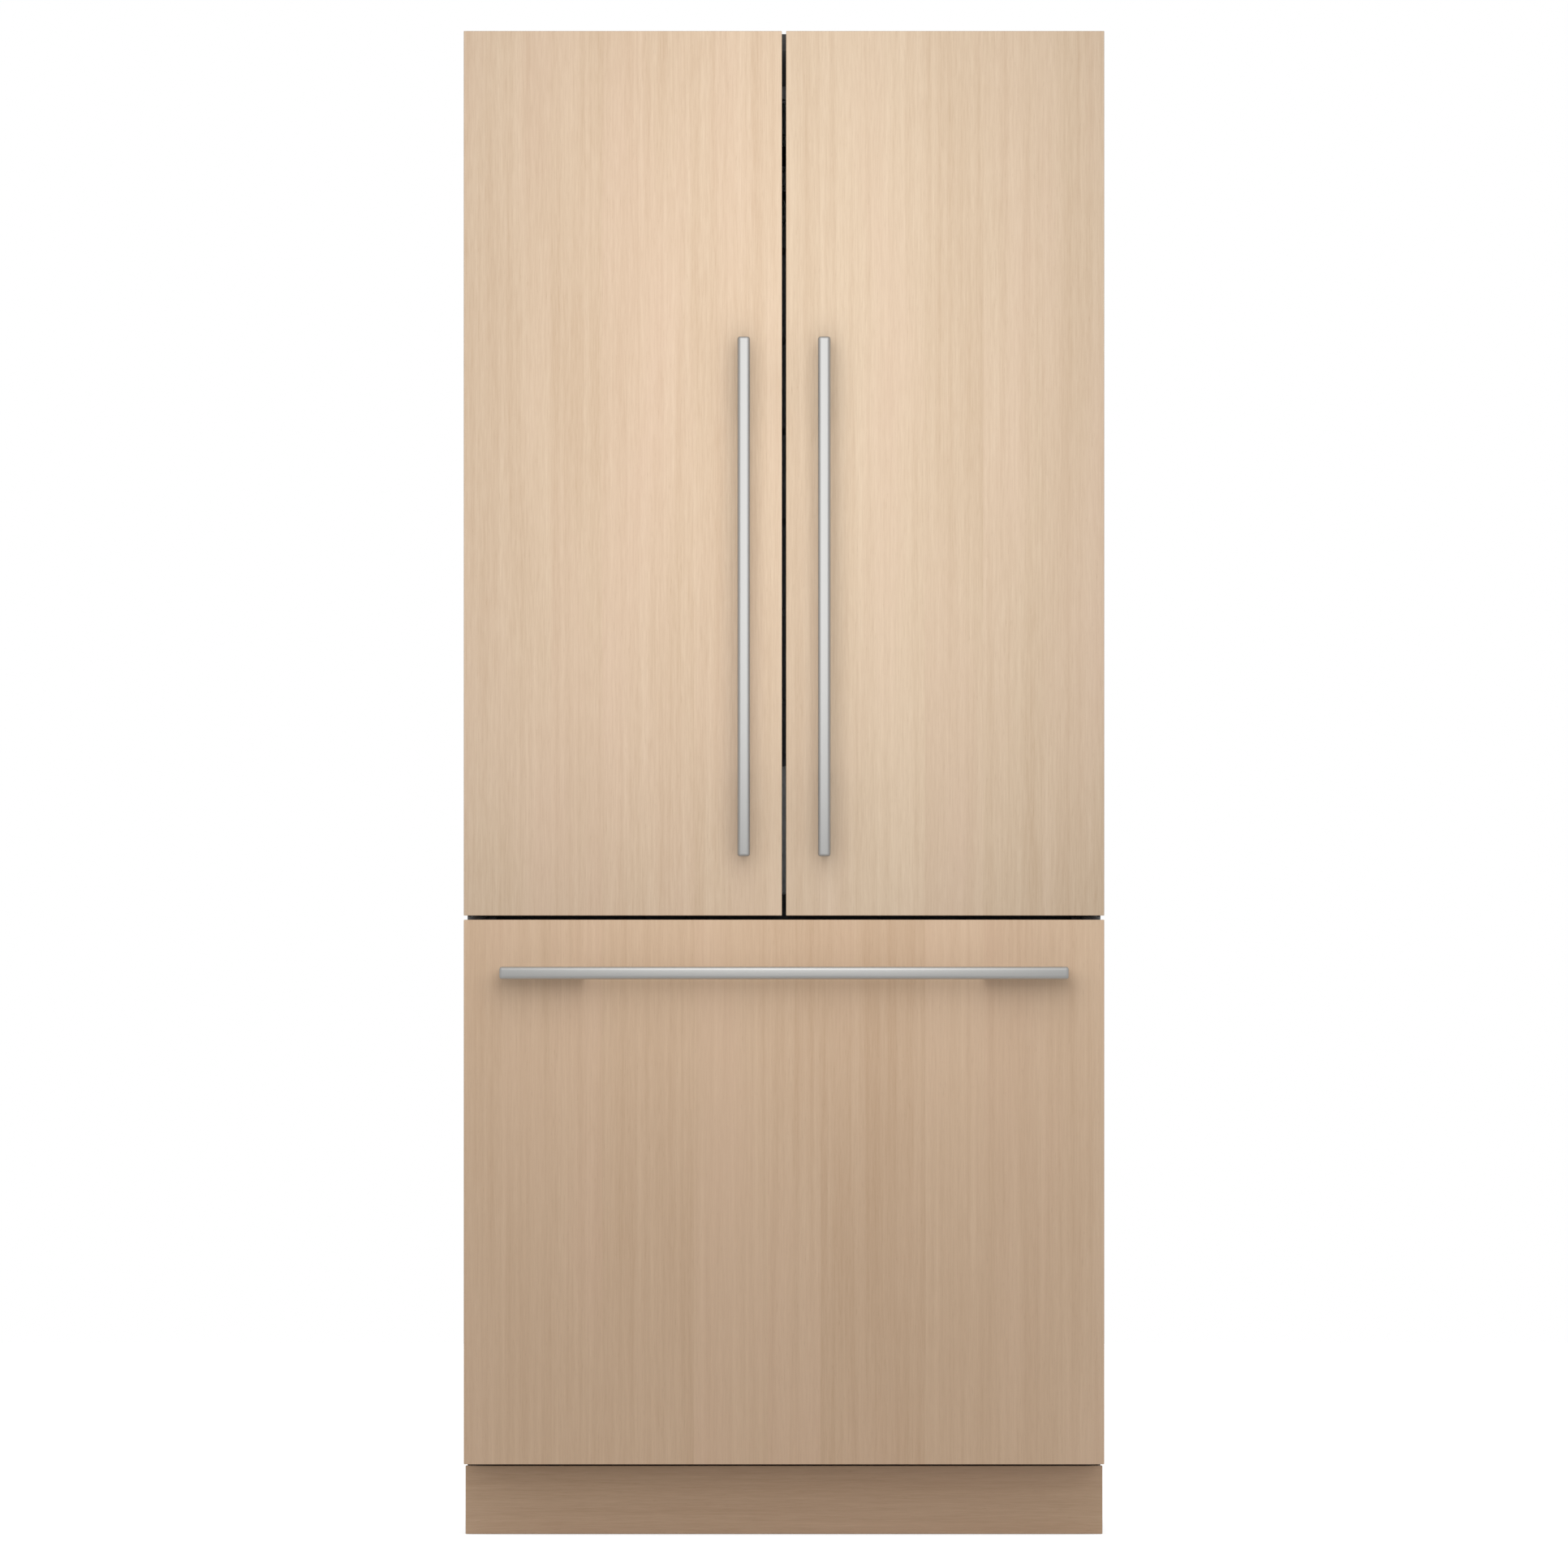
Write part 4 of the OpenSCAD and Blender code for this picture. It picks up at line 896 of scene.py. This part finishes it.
def fanShape(radius, hub, depth, shaftEnd):
    # blades: a thin lens of chord c at pitch p(r), wrapped round the axis by angle = u / r;
    # a cup hub and a shaft
    w = fanWork
    r = np.linspace(hub * 0.9, radius, 8)[:, None]
    f = (r - r[0]) / (r[-1] - r[0])
    pitch = np.radians(w["rootPitch"] + (w["tipPitch"] - w["rootPitch"]) * f)
    chord = np.minimum(radius * (0.52 + 0.22 * np.sin(np.pi * f)), depth * 0.92 / np.sin(pitch))
    s = np.linspace(-0.5, 0.5, 9)
    s = np.concatenate([s, s[-2:0:-1]])[None, :]
    face = np.where(np.arange(s.shape[1]) < 9, 1.0, -1.0)[None, :]
    bow = w["camber"] * chord * (0.25 - s ** 2)
    lens = face * w["thick"] / 2 * np.sqrt(np.clip(1.0 - 4.0 * s ** 2, 0.0, 1.0))
    u = s * chord * np.cos(pitch) - (bow + lens) * np.sin(pitch)
    v = s * chord * np.sin(pitch) + (bow + lens) * np.cos(pitch)
    h = depth / 2
    hubRows = [(1e-5, -h), (hub * 0.8, -h), (hub, -h + 0.002), (hub, h - 0.003), (hub * 0.85, h - 0.0006),
               (hub * 0.5, h), (1e-5, h)]
    shaftRows = [(w["shaft"] * 0.8, shaftEnd), (w["shaft"], shaftEnd + 0.0005), (w["shaft"], 0.0)]
    shapes = [revolve(hubRows, (0, 0, 0), "z", 28), revolve(shaftRows, (0, 0, 0), "z", 16)]
    for i in range(w["blades"]):
        a = u / r + i * 2 * np.pi / w["blades"]
        shapes.append(closedLoft(np.stack([r * np.cos(a), r * np.sin(a), np.clip(v, -h, h)], axis=-1)))
    return together(*shapes)


w = ductWork
for cold, plan in coldFans.items():
    node = cold + "_air_duct"
    low, high = corners(node)
    softened(node, "ductWhite")
    rings = together(*[ringRib(r, plan["z"], low[1]) for r in w["rings"]])
    makePiece(node + "Rings", rings, "ductWhite", slot="liner_white")
    places = [(side * (high[0] - w["screwIn"]), low[1] + plan["recess"], z) for side in (-1, 1)
              for z in np.linspace(low[2] + w["screwEnd"], high[2] - w["screwEnd"], w["screwsUp"])]
    screwSet(node + "Screws", places, "y", -1.0, height=w["screwHeight"])
for cold, plan in coldFans.items():
    node = cold + "_fan"
    blades = fanShape(plan["radius"], 0.015, 0.018, -0.022)
    makePiece(node + "Blades", aimed(blades, "y", (0.0, corners(node)[1][1] - 0.009, plan["z"])),
              "fanPlastic", node)
low, high = corners("condenser_fan")
middle = (low + high) / 2
blades = aimed(fanShape(0.066, 0.018, 0.022, -0.024), "x", (high[0] - 0.011, middle[1], middle[2]))
makePiece("condenser_fanBlades", blades, "fanPlastic", "condenser_fan")


# ---- compressor, pipes and drain pan ----

# the pot's rows start at its foot; each pipe lists the points it passes through
potWork = {"at": (0.190, 0.215, 0.040), "radius": 0.070, "seam": 0.0032, "crown": 0.030, "crownFrom": 0.088,
           "crownHeight": 0.032, "plateHalf": (0.105, 0.062), "plateThick": 0.003}
pipeWork = {
    "radius": 0.0032,
    "suction": [(0.128, 0.195, 0.098), (0.105, 0.185, 0.100), (0.080, 0.165, 0.140), (0.060, 0.145, 0.220),
                (0.030, 0.135, 0.258), (-0.100, 0.132, 0.258), (-0.200, 0.132, 0.256),
                (-0.226, 0.132, 0.240), (-0.228, 0.132, 0.220)],
    "discharge": [(0.190, 0.150, 0.095), (0.190, 0.138, 0.100), (0.192, 0.130, 0.130),
                  (0.200, 0.128, 0.200), (0.215, 0.132, 0.268)],
    "liquid": [(-0.330, 0.122, 0.060), (-0.365, 0.118, 0.080), (-0.372, 0.130, 0.160),
               (-0.372, 0.160, 0.230), (-0.368, 0.180, 0.268)],
    "drierAt": (-0.372, 0.145, 0.195)}
mountWork = {"x": (0.095, 0.285), "y": (0.165, 0.265), "z": 0.024, "radius": 0.011, "waist": 0.0088}

w = potWork
at, r, seam = np.array(w["at"]), w["radius"], w["radius"] + w["seam"]
t = np.linspace(0.0, np.pi / 2, 9)
crown = np.stack([r - w["crown"] * (1 - np.cos(t)), w["crownFrom"] + w["crownHeight"] * np.sin(t)], axis=1)
pot = [(1e-5, 0.004), (0.058, 0.004), (0.067, 0.010), (r, 0.020), (r, 0.052), (seam, 0.0535), (seam, 0.0565),
       (r, 0.058)] + crown.tolist() + [(1e-5, 0.1205)]
px, py = w["plateHalf"]
plate = softBlock(at + (-px, -py, 0.0), at + (px, py, w["plateThick"]), 0.012, 0.0006)
makePiece("compressorPot", together(revolve(pot, at, "z", 64), plate), "blackEnamel", "compressor")
relay = softBlock(at + (0.062, -0.024, 0.030), at + (0.092, 0.024, 0.078), 0.004, 0.003)
makePiece("compressorRelay", relay, "blackPlastic", slot="black_plastic")
w = pipeWork
drierHalf = [(0.0026, -0.035), (0.0075, -0.028), (0.0085, -0.022)]
drier = revolve(drierHalf + [(r, -z) for r, z in drierHalf[::-1]], w["drierAt"], "z", 20)
pipes = [tube(smoothPath(w[run]), w["radius"]) for run in ("suction", "discharge", "liquid")]
makePiece("copperPipes", together(*pipes, drier), "copper", slot="zinc_steel", sharp=50.0)

w = mountWork
r, waist = w["radius"], w["waist"]
mountRows = [(0.004, 0.0), (r - 0.001, 0.0), (r, 0.001), (r, 0.005), (waist, 0.0065), (waist, 0.009),
             (r, 0.0105), (r, 0.015), (r - 0.001, 0.016), (0.004, 0.016)]
grommet = revolve(mountRows, (0, 0, w["z"]), "z", 28)
makePiece("compressorGrommets", repeated(grommet, [(x, y, 0.0) for x in w["x"] for y in w["y"]]),
          "mountRubber", "compressor_mounts")
low, high = corners("drain_pan")
makePiece("drainPanTub", loftRings(low, high, 0.012, cupSection(high[2] - low[2], 0.002, 0.005)),
          "blackPlastic", "drain_pan")
print("cooling parts ready")


# ---- feet and rollers ----

footWork = {"pitch": 0.0025, "threadDepth": 0.0006, "threadFrom": 0.019, "stud": 0.006,
            "base": [(1e-5, 0.0), (0.0205, 0.0), (0.022, 0.0015), (0.022, 0.0065), (0.0205, 0.0078),
                     (0.012, 0.0118), (0.0108, 0.0125), (1e-5, 0.0125)],
            "nut": [(1e-5, 0.012), (0.0100, 0.012), (0.0108, 0.0128), (0.0108, 0.0172), (0.0100, 0.018),
                    (1e-5, 0.018)]}
wheelHalf = [(1e-5, -0.014), (0.0034, -0.014), (0.004, -0.0134), (0.004, -0.0102), (0.0095, -0.0100),
             (0.0105, -0.0082), (0.0160, -0.0082), (0.0168, -0.0098), (0.0186, -0.0100), (0.0200, -0.0084)]


def studRows(height):
    # the radius steps in and out by the thread's depth at every half pitch
    w = footWork
    z = np.arange(w["threadFrom"], height - 0.002, w["pitch"] / 2)
    thread = np.stack([w["stud"] - w["threadDepth"] * (np.arange(len(z)) % 2), z], axis=1)
    return [(1e-5, 0.017), (0.0054, 0.0175)] + thread.tolist() + [(0.0045, height), (1e-5, height)]


for node in ("left_foot", "right_foot"):
    low, high = corners(node)
    centre = ((low[0] + high[0]) / 2, (low[1] + high[1]) / 2, low[2])
    turned = [revolve(footWork["base"], centre, "z", 40), revolve(footWork["nut"], centre, "z", 6),
              revolve(studRows(high[2] - low[2]), centre, "z", 20)]
    makePiece(node + "Turned", together(*turned), "plainSteel", node)
wheel = wheelHalf + [(r, -h) for r, h in wheelHalf[::-1]]
for node in ("left_roller", "right_roller"):
    makePiece(node + "Wheel", revolve(wheel, sum(corners(node)) / 2, "x", 40), "rollerNylon", node)


# ---- door interiors ----

# right-hand sizes, mirrored for the left door; panels are the low pads between the bins
doorWork = {"plate": 0.002, "plateCorner": 0.018, "plateEdge": 0.0006, "dykeX": (0.036, 0.390),
            "dykeZ": (1.096, 2.040), "dykeCorner": 0.016, "dykeSink": 0.0009, "sink": 0.0007,
            "panelX": (0.062, 0.364), "panelZ": ((1.290, 1.385), (1.540, 1.685), (1.840, 2.010)),
            "panelLift": 0.0016, "footX": (0.046, 0.380), "footZ": (0.928, 1.078), "footLift": 0.004,
            "lugX": (0.055, 0.371), "lugHalf": 0.006, "lugY": -0.160}
dykeRows = [(-0.006, 0.0), (-0.0022, 0.0012), (0.0, 0.006), (0.0008, 0.056), (0.0018, 0.0592),
            (0.0040, 0.0609), (0.0080, 0.0609), (0.0102, 0.0592), (0.0112, 0.056), (0.0120, 0.006),
            (0.0142, 0.0012), (0.0180, 0.0)]
doorBin = {"corner": 0.020, "draft": 0.005, "wall": 0.0025, "foot": 0.006, "lip": 0.0022,
           "bandIn": 0.012, "bandHalf": 0.0012, "bandDrop": 0.018, "bandHeight": 0.014,
           "heights": ((1.110, 1.260), (1.400, 1.510), (1.700, 1.810))}


def binShape(low, high):
    # a drafted tub with a thick rolled rim; the rim is the widest line, and the walls lean in to the foot
    w = doorBin
    h, inner = high[2] - low[2], w["draft"] + w["wall"]
    a = np.linspace(0.0, np.pi / 2, 5)
    rows = [(w["draft"] + w["foot"] * (1 - math.sin(x)), w["foot"] * (1 - math.cos(x))) for x in a]
    rows += [(w["lip"], h - 0.010), (0.0004, h - 0.0085), (0.0, h - 0.006), (0.0, h - 0.0015), (0.0012, h),
             (w["wall"] + 0.0010, h), (w["wall"] + 0.0016, h - 0.002), (w["lip"] + w["wall"], h - 0.010)]
    rows += [(inner + w["foot"] * (1 - math.sin(x)), w["wall"] + w["foot"] * (1 - math.cos(x)))
             for x in a[::-1]]
    return loftRings(low, high, w["corner"], rows, arc=6)


def doorLiner():
    w = doorWork
    low, high = corners("right_door_liner")
    faceY = low[1] + w["plate"]
    (x0, x1), (z0, z1) = w["dykeX"], w["dykeZ"]
    (f0, f1), (g0, g1) = w["footX"], w["footZ"]
    (p0, p1), sunk = w["panelX"], faceY - w["sink"]
    return together(
        softBlock(low, (high[0], faceY, high[2]), w["plateCorner"], w["plateEdge"], "y", arc=6),
        loftRings((x0, faceY - w["dykeSink"], z0), (x1, high[1], z1), w["dykeCorner"], dykeRows, "y",
                  loop=True, arc=6),
        softBlock((f0, sunk, g0), (f1, faceY + w["footLift"], g1), 0.020, 0.003, "y", arc=6),
        *[softBlock((p0, sunk, a), (p1, faceY + w["panelLift"], b), 0.014, 0.0010, "y", arc=5)
          for a, b in w["panelZ"]])


def binLugs():
    w = doorWork
    faceY, half = corners("right_door_liner")[0][1] + w["plate"], w["lugHalf"]
    return together(*[softBlock((x - half, faceY, z - 0.010), (x + half, w["lugY"], z - 0.0004),
                                0.003, 0.002, "y") for z, _ in doorBin["heights"][1:] for x in w["lugX"]])


for side, hand in ((-1, "left"), (1, "right")):
    w = doorBin
    node = hand + "_door_bins"
    softened(hand + "_door_body", "doorSkin", 0.0016, 3)
    makePiece(hand + "DoorLiner", sided(doorLiner(), side), "linerWhite", hand + "_door_liner")
    low, high = corners(node)
    bins = [binShape((low[0], low[1], z0), (high[0], high[1], z1)) for z0, z1 in w["heights"]]
    makePiece(hand + "DoorBins", together(*bins), "binPlastic", node)
    bands = []
    for _, z1 in w["heights"]:
        start = np.array([low[0] + w["bandIn"], high[1] - w["bandHalf"], z1 - w["bandDrop"]])
        end = (high[0] - w["bandIn"], high[1] + w["bandHalf"], start[2] + w["bandHeight"])
        bands.append(softBlock(start, end, 0.003, 0.0006, "y"))
    makePiece(hand + "BinBands", together(*bands), "satinTrim", body=bodyOf[node], slot="aluminium_trim")
    makePiece(hand + "BinLugs", sided(binLugs(), side), "linerWhite", body=bodyOf[node], slot="liner_white")
# the flipper bar's near-black finish is partly painted shade for the gap between the doors
softened("flipper_bar", "frameDark", 0.0012, 3)
softened("flipper_hinges", "plainSteel", 0.0006)
softened("flipper_guide", "trimGrey", 0.0010)
print("door interiors ready")


# ---- shelves, crispers and controls ----

# right-hand sizes, mirrored for the left crisper
crisperWork = {"x": (0.046, 0.383), "y": (-0.0805, 0.2065), "z": (0.914, 1.063), "corner": 0.016,
               "wall": 0.003, "draft": 0.004, "foot": 0.010, "flangeX": (0.036, 0.395),
               "flangeZ": (1.0592, 1.0622), "lip": 0.005, "lipZ": 1.0615, "lipRise": 0.0070,
               "frontWall": 0.0016}
gripWork = {"ribs": 5, "start": 0.004, "pitch": 0.003, "width": 0.0014, "in": 0.0016, "out": 0.0010}
controlWork = {"buttons": 6, "pitch": 0.030, "radius": 0.0052, "lift": 0.0009, "buttonZ": 0.0085,
               "lampZ": 0.0165}


def crisperTub():
    w = crisperWork
    (x0, x1), (y0, y1), (z0, z1) = w["x"], w["y"], w["z"]
    rows = cupSection(z1 - z0, w["wall"], w["foot"], w["draft"])
    flanges = [softBlock((a, y0 + 0.014, w["flangeZ"][0]), (b, y1, w["flangeZ"][1]), 0.001, 0.0008, "y")
               for a, b in ((w["flangeX"][0], x0 + 0.002), (x1 - 0.002, w["flangeX"][1]))]
    return together(loftRings((x0, y0 + 0.001, z0), (x1, y1, z1), w["corner"], rows, arc=6), *flanges)


def crisperFront():
    # a plate that rolls over into a finger pull along its top
    w = crisperWork
    (x0, x1), y0, z0, thick = w["x"], w["y"][0], w["z"][0], w["frontWall"]
    t = np.linspace(0.0, np.pi, 9)
    roll = np.stack([y0 - 0.0005 + w["lip"] * (1 - np.cos(t)), w["lipZ"] + w["lipRise"] * np.sin(t)], axis=1)
    outer = np.concatenate([[[y0 - 0.0006, z0 + 0.006]], roll, [[roll[-1, 0], 1.058]]])
    bend = np.stack([thick * np.cos(t), -thick * np.sin(t)], axis=1)
    inner = outer + np.concatenate([[[thick, 0.0]], bend, [[-thick, 0.0]]])
    line = np.concatenate([outer, inner[::-1]])
    rings = np.zeros((4, len(line), 3))
    rings[:, :, 0] = np.array([x0 + 0.0004, x0 + 0.0012, x1 - 0.0012, x1 - 0.0004])[:, None]
    rings[:, :, 1:] = line[None]
    return closedLoft(rings)


softened("shelf_frames", "satinTrim", 0.0009, 3)
softened("crisper_cover", "satinTrim", 0.0009, 3)
softened("glass_shelves", "shelfGlass", 0.0006)
w = gripWork
for side, hand in ((-1, "left"), (1, "right")):
    node, knob = hand + "_crisper", hand + "_humidity_knob"
    makePiece(hand + "CrisperTub", sided(crisperTub(), side), "binPlastic", node)
    makePiece(hand + "CrisperFront", sided(crisperFront(), side), "frostedFront", body=bodyOf[node],
              slot="clear_plastic", sharp=50.0)
    softened(knob, "trimGrey", 0.0012, 3)
    low, high = corners(knob)
    rib = softBlock((low[0] + w["start"], low[1] - w["out"], low[2] + w["in"]),
                    (low[0] + w["start"] + w["width"], low[1] + 0.0006, high[2] - w["in"]),
                    0.0005, 0.0004, "y", arc=2)
    makePiece(knob + "Grip", repeated(rib, [(i * w["pitch"], 0.0, 0.0) for i in range(w["ribs"])]),
              "trimGrey", body=bodyOf[knob], slot="trim_grey")

w = controlWork
softened("control_panel", "panelGloss", 0.0020, 4)
low = corners("control_panel")[0]
buttonX = (np.arange(w["buttons"]) - (w["buttons"] - 1) / 2) * w["pitch"]
cap = [(1e-5, -0.0004), (w["radius"], -0.0004), (w["radius"], w["lift"] * 0.5),
       (w["radius"] * 0.9, w["lift"]), (1e-5, w["lift"] * 0.8)]
dot = [(1e-5, -0.0004), (0.0013, -0.0004), (0.0011, 0.0004), (1e-5, 0.0005)]
for name, rows, sides, lift, material in (("controlButtons", cap, 24, w["buttonZ"], "trimGrey"),
                                          ("controlLamps", dot, 14, w["lampZ"], "iconPale")):
    shape = revolve([(r, -h) for r, h in rows], (0, 0, 0), "y", sides)
    places = [(x, low[1], low[2] + lift) for x in buttonX]
    makePiece(name, repeated(shape, places), material, slot="trim_grey")
softened("light_strips", "lampLens", 0.0012, 3)
print("refrigerator interior ready")


# ---- freezer drawer ----

binWork = {"corner": 0.016, "wall": 0.003, "rim": 0.012, "rimEdge": 0.0012, "rimDeep": 0.003, "ribs": 6,
           "ribOut": 0.004, "ribFrom": 0.340, "stepGap": 0.013, "stepZ": 0.325}
trayWork = {"wall": 0.003, "foot": 0.008, "corner": 0.018, "lift": 0.004, "sideIn": 0.012,
            "runnerX": 0.368, "endIn": 0.008}
drawerWork = {"backY": -0.2075, "edge": (0.411, 0.153, 0.845), "inner": (0.386, 0.176, 0.824),
              "beadX": 0.340, "beadZ": (0.56, 0.62, 0.68, 0.74), "beadHigh": 0.012, "beadLift": 0.0022}
drawerFit = {"body": "freezer_drawer", "slot": "liner_white"}

w = binWork
low, high = corners("freezer_bin")
x, stepY = high[0] - w["rim"], humpY - w["stepGap"]
chain = np.array([(low[1], high[2]), (low[1], low[2]), (stepY, low[2]), (stepY, w["stepZ"]),
                  (high[1], w["stepZ"]), (high[1], high[2])])
chain += np.array([[1, 0], [1, 1], [-1, 1], [-1, 1], [-1, 1], [-1, 0]]) * w["wall"]
makePiece("freezerBinTub", steppedCup(chain, x - w["wall"], w["corner"], w["corner"]), "binWhite",
          "freezer_bin", wall=w["wall"])
rimRows = [(0.0, 0.0), (0.0, w["rimEdge"]), (0.0008, 0.0026), (0.0022, w["rimDeep"]),
           (w["rim"] + 0.001, w["rimDeep"]), (w["rim"] + w["wall"], 0.0022), (w["rim"] + w["wall"], 0.0),
           (w["rim"] + 0.0006, -0.0006)]
rim = loftRings((low[0], low[1] - 0.0004, high[2] - w["rimDeep"]), (high[0], high[1] + 0.0004, high[2]),
                0.014, rimRows, loop=True, arc=6)
makePiece("freezerBinRim", rim, "binWhite", **drawerFit)
rib = softBlock((x - 0.001, -0.004, w["ribFrom"]), (x + w["ribOut"], 0.004, high[2] - 0.004), 0.002, 0.002)
ribs = repeated(rib, [(0.0, y, 0.0) for y in np.linspace(low[1] + 0.04, high[1] - 0.04, w["ribs"])])
makePiece("freezerBinRibs", together(ribs, mirrored(ribs)), "binWhite", **drawerFit)

w = trayWork
low, high = corners("freezer_tray")
rows = cupSection(high[2] - low[2] - w["lift"], w["wall"], w["foot"], w["wall"])
tray = loftRings((low[0] + w["sideIn"], low[1], low[2] + w["lift"]),
                 (high[0] - w["sideIn"], high[1], high[2]), w["corner"], rows, arc=6)
y0, y1 = low[1] + w["endIn"], high[1] - w["endIn"]
runner = softBlock((w["runnerX"], y0, low[2]), (high[0], y1, low[2] + 0.003), 0.001, 0.0008, "y")
web = softBlock((w["runnerX"], y0, low[2] + 0.0004), (w["runnerX"] + 0.004, y1, low[2] + 0.008),
                0.001, 0.0008, "y")
makePiece("freezerTrayTub", together(tray, runner, web, mirrored(runner), mirrored(web)), "binPlastic",
          "freezer_tray")

w = drawerWork
low, high = corners("drawer_body")
backY = w["backY"]
core = softBlock(low, (high[0], backY, high[2]), 0.002, 0.0012, "y")
makePiece("drawerCore", core, "doorSkin", "drawer_body")
(x0, a0, a1), (x1, b0, b1) = w["inner"], w["edge"]
inner = softBlock((-x0, backY - 0.0004, a0), (x0, high[1], a1), 0.022, 0.004, "y", arc=7)
edge = softBlock((-x1, backY - 0.0004, b0), (x1, backY + 0.0012, b1), 0.014, 0.0006, "y", arc=6)
x, y = w["beadX"], high[1]
beads = [softBlock((-x, y - 0.001, z), (x, y + w["beadLift"], z + w["beadHigh"]), 0.005, 0.0016, "y")
         for z in w["beadZ"]]
makePiece("drawerInnerSkin", together(inner, edge, *beads), "linerWhite", **drawerFit)
for node in ("outer_slides", "middle_slides", "inner_slides"):
    softened(node, "springSteel", 0.0004)
print("freezer drawer ready")


# ---- sheet parts that keep the CAD outline ----

# the hinge brackets' near-black paint is partly painted shade for the dark ends of the door gaps
sheetParts = {"outer_wrapper": ("sheetPaint", 0.0003), "base_frame": ("basePaint", 0.0006),
              "fan_shroud": ("blackPlastic", 0.0010), "machine_cover": ("zincSheet", 0.0003),
              "base_grille": ("basePaint", 0.0008), "control_box": ("trimGrey", 0.0014),
              "top_bracket": ("bracketPaint", 0.0006), "hinge_brackets": ("bracketPaint", 0.0006)}
for node, (material, width) in sheetParts.items():
    softened(node, material, width)
wrapper = bpy.data.objects["outer_wrapperSoft"]
wrapper.data.materials.append(materials["frameDark"])
for face in wrapper.data.polygons:  # what the gaskets close on, and what shows through the gaps: near-black paint, partly the frame's own colour and partly painted shade for the deep gaps
    if face.normal.y < -0.9:
        face.material_index = 1
for node, material in (("cabinet_foam", "foam"), ("evaporators", "coilFins"), ("condenser", "coilFins")):
    data = frame["nodes"][node].data  # keeps its shape and gets the real finish
    data.materials.clear()
    data.materials.append(materials[material])
print("pieces ready")

bpy.context.scene.view_settings.view_transform = "Standard"
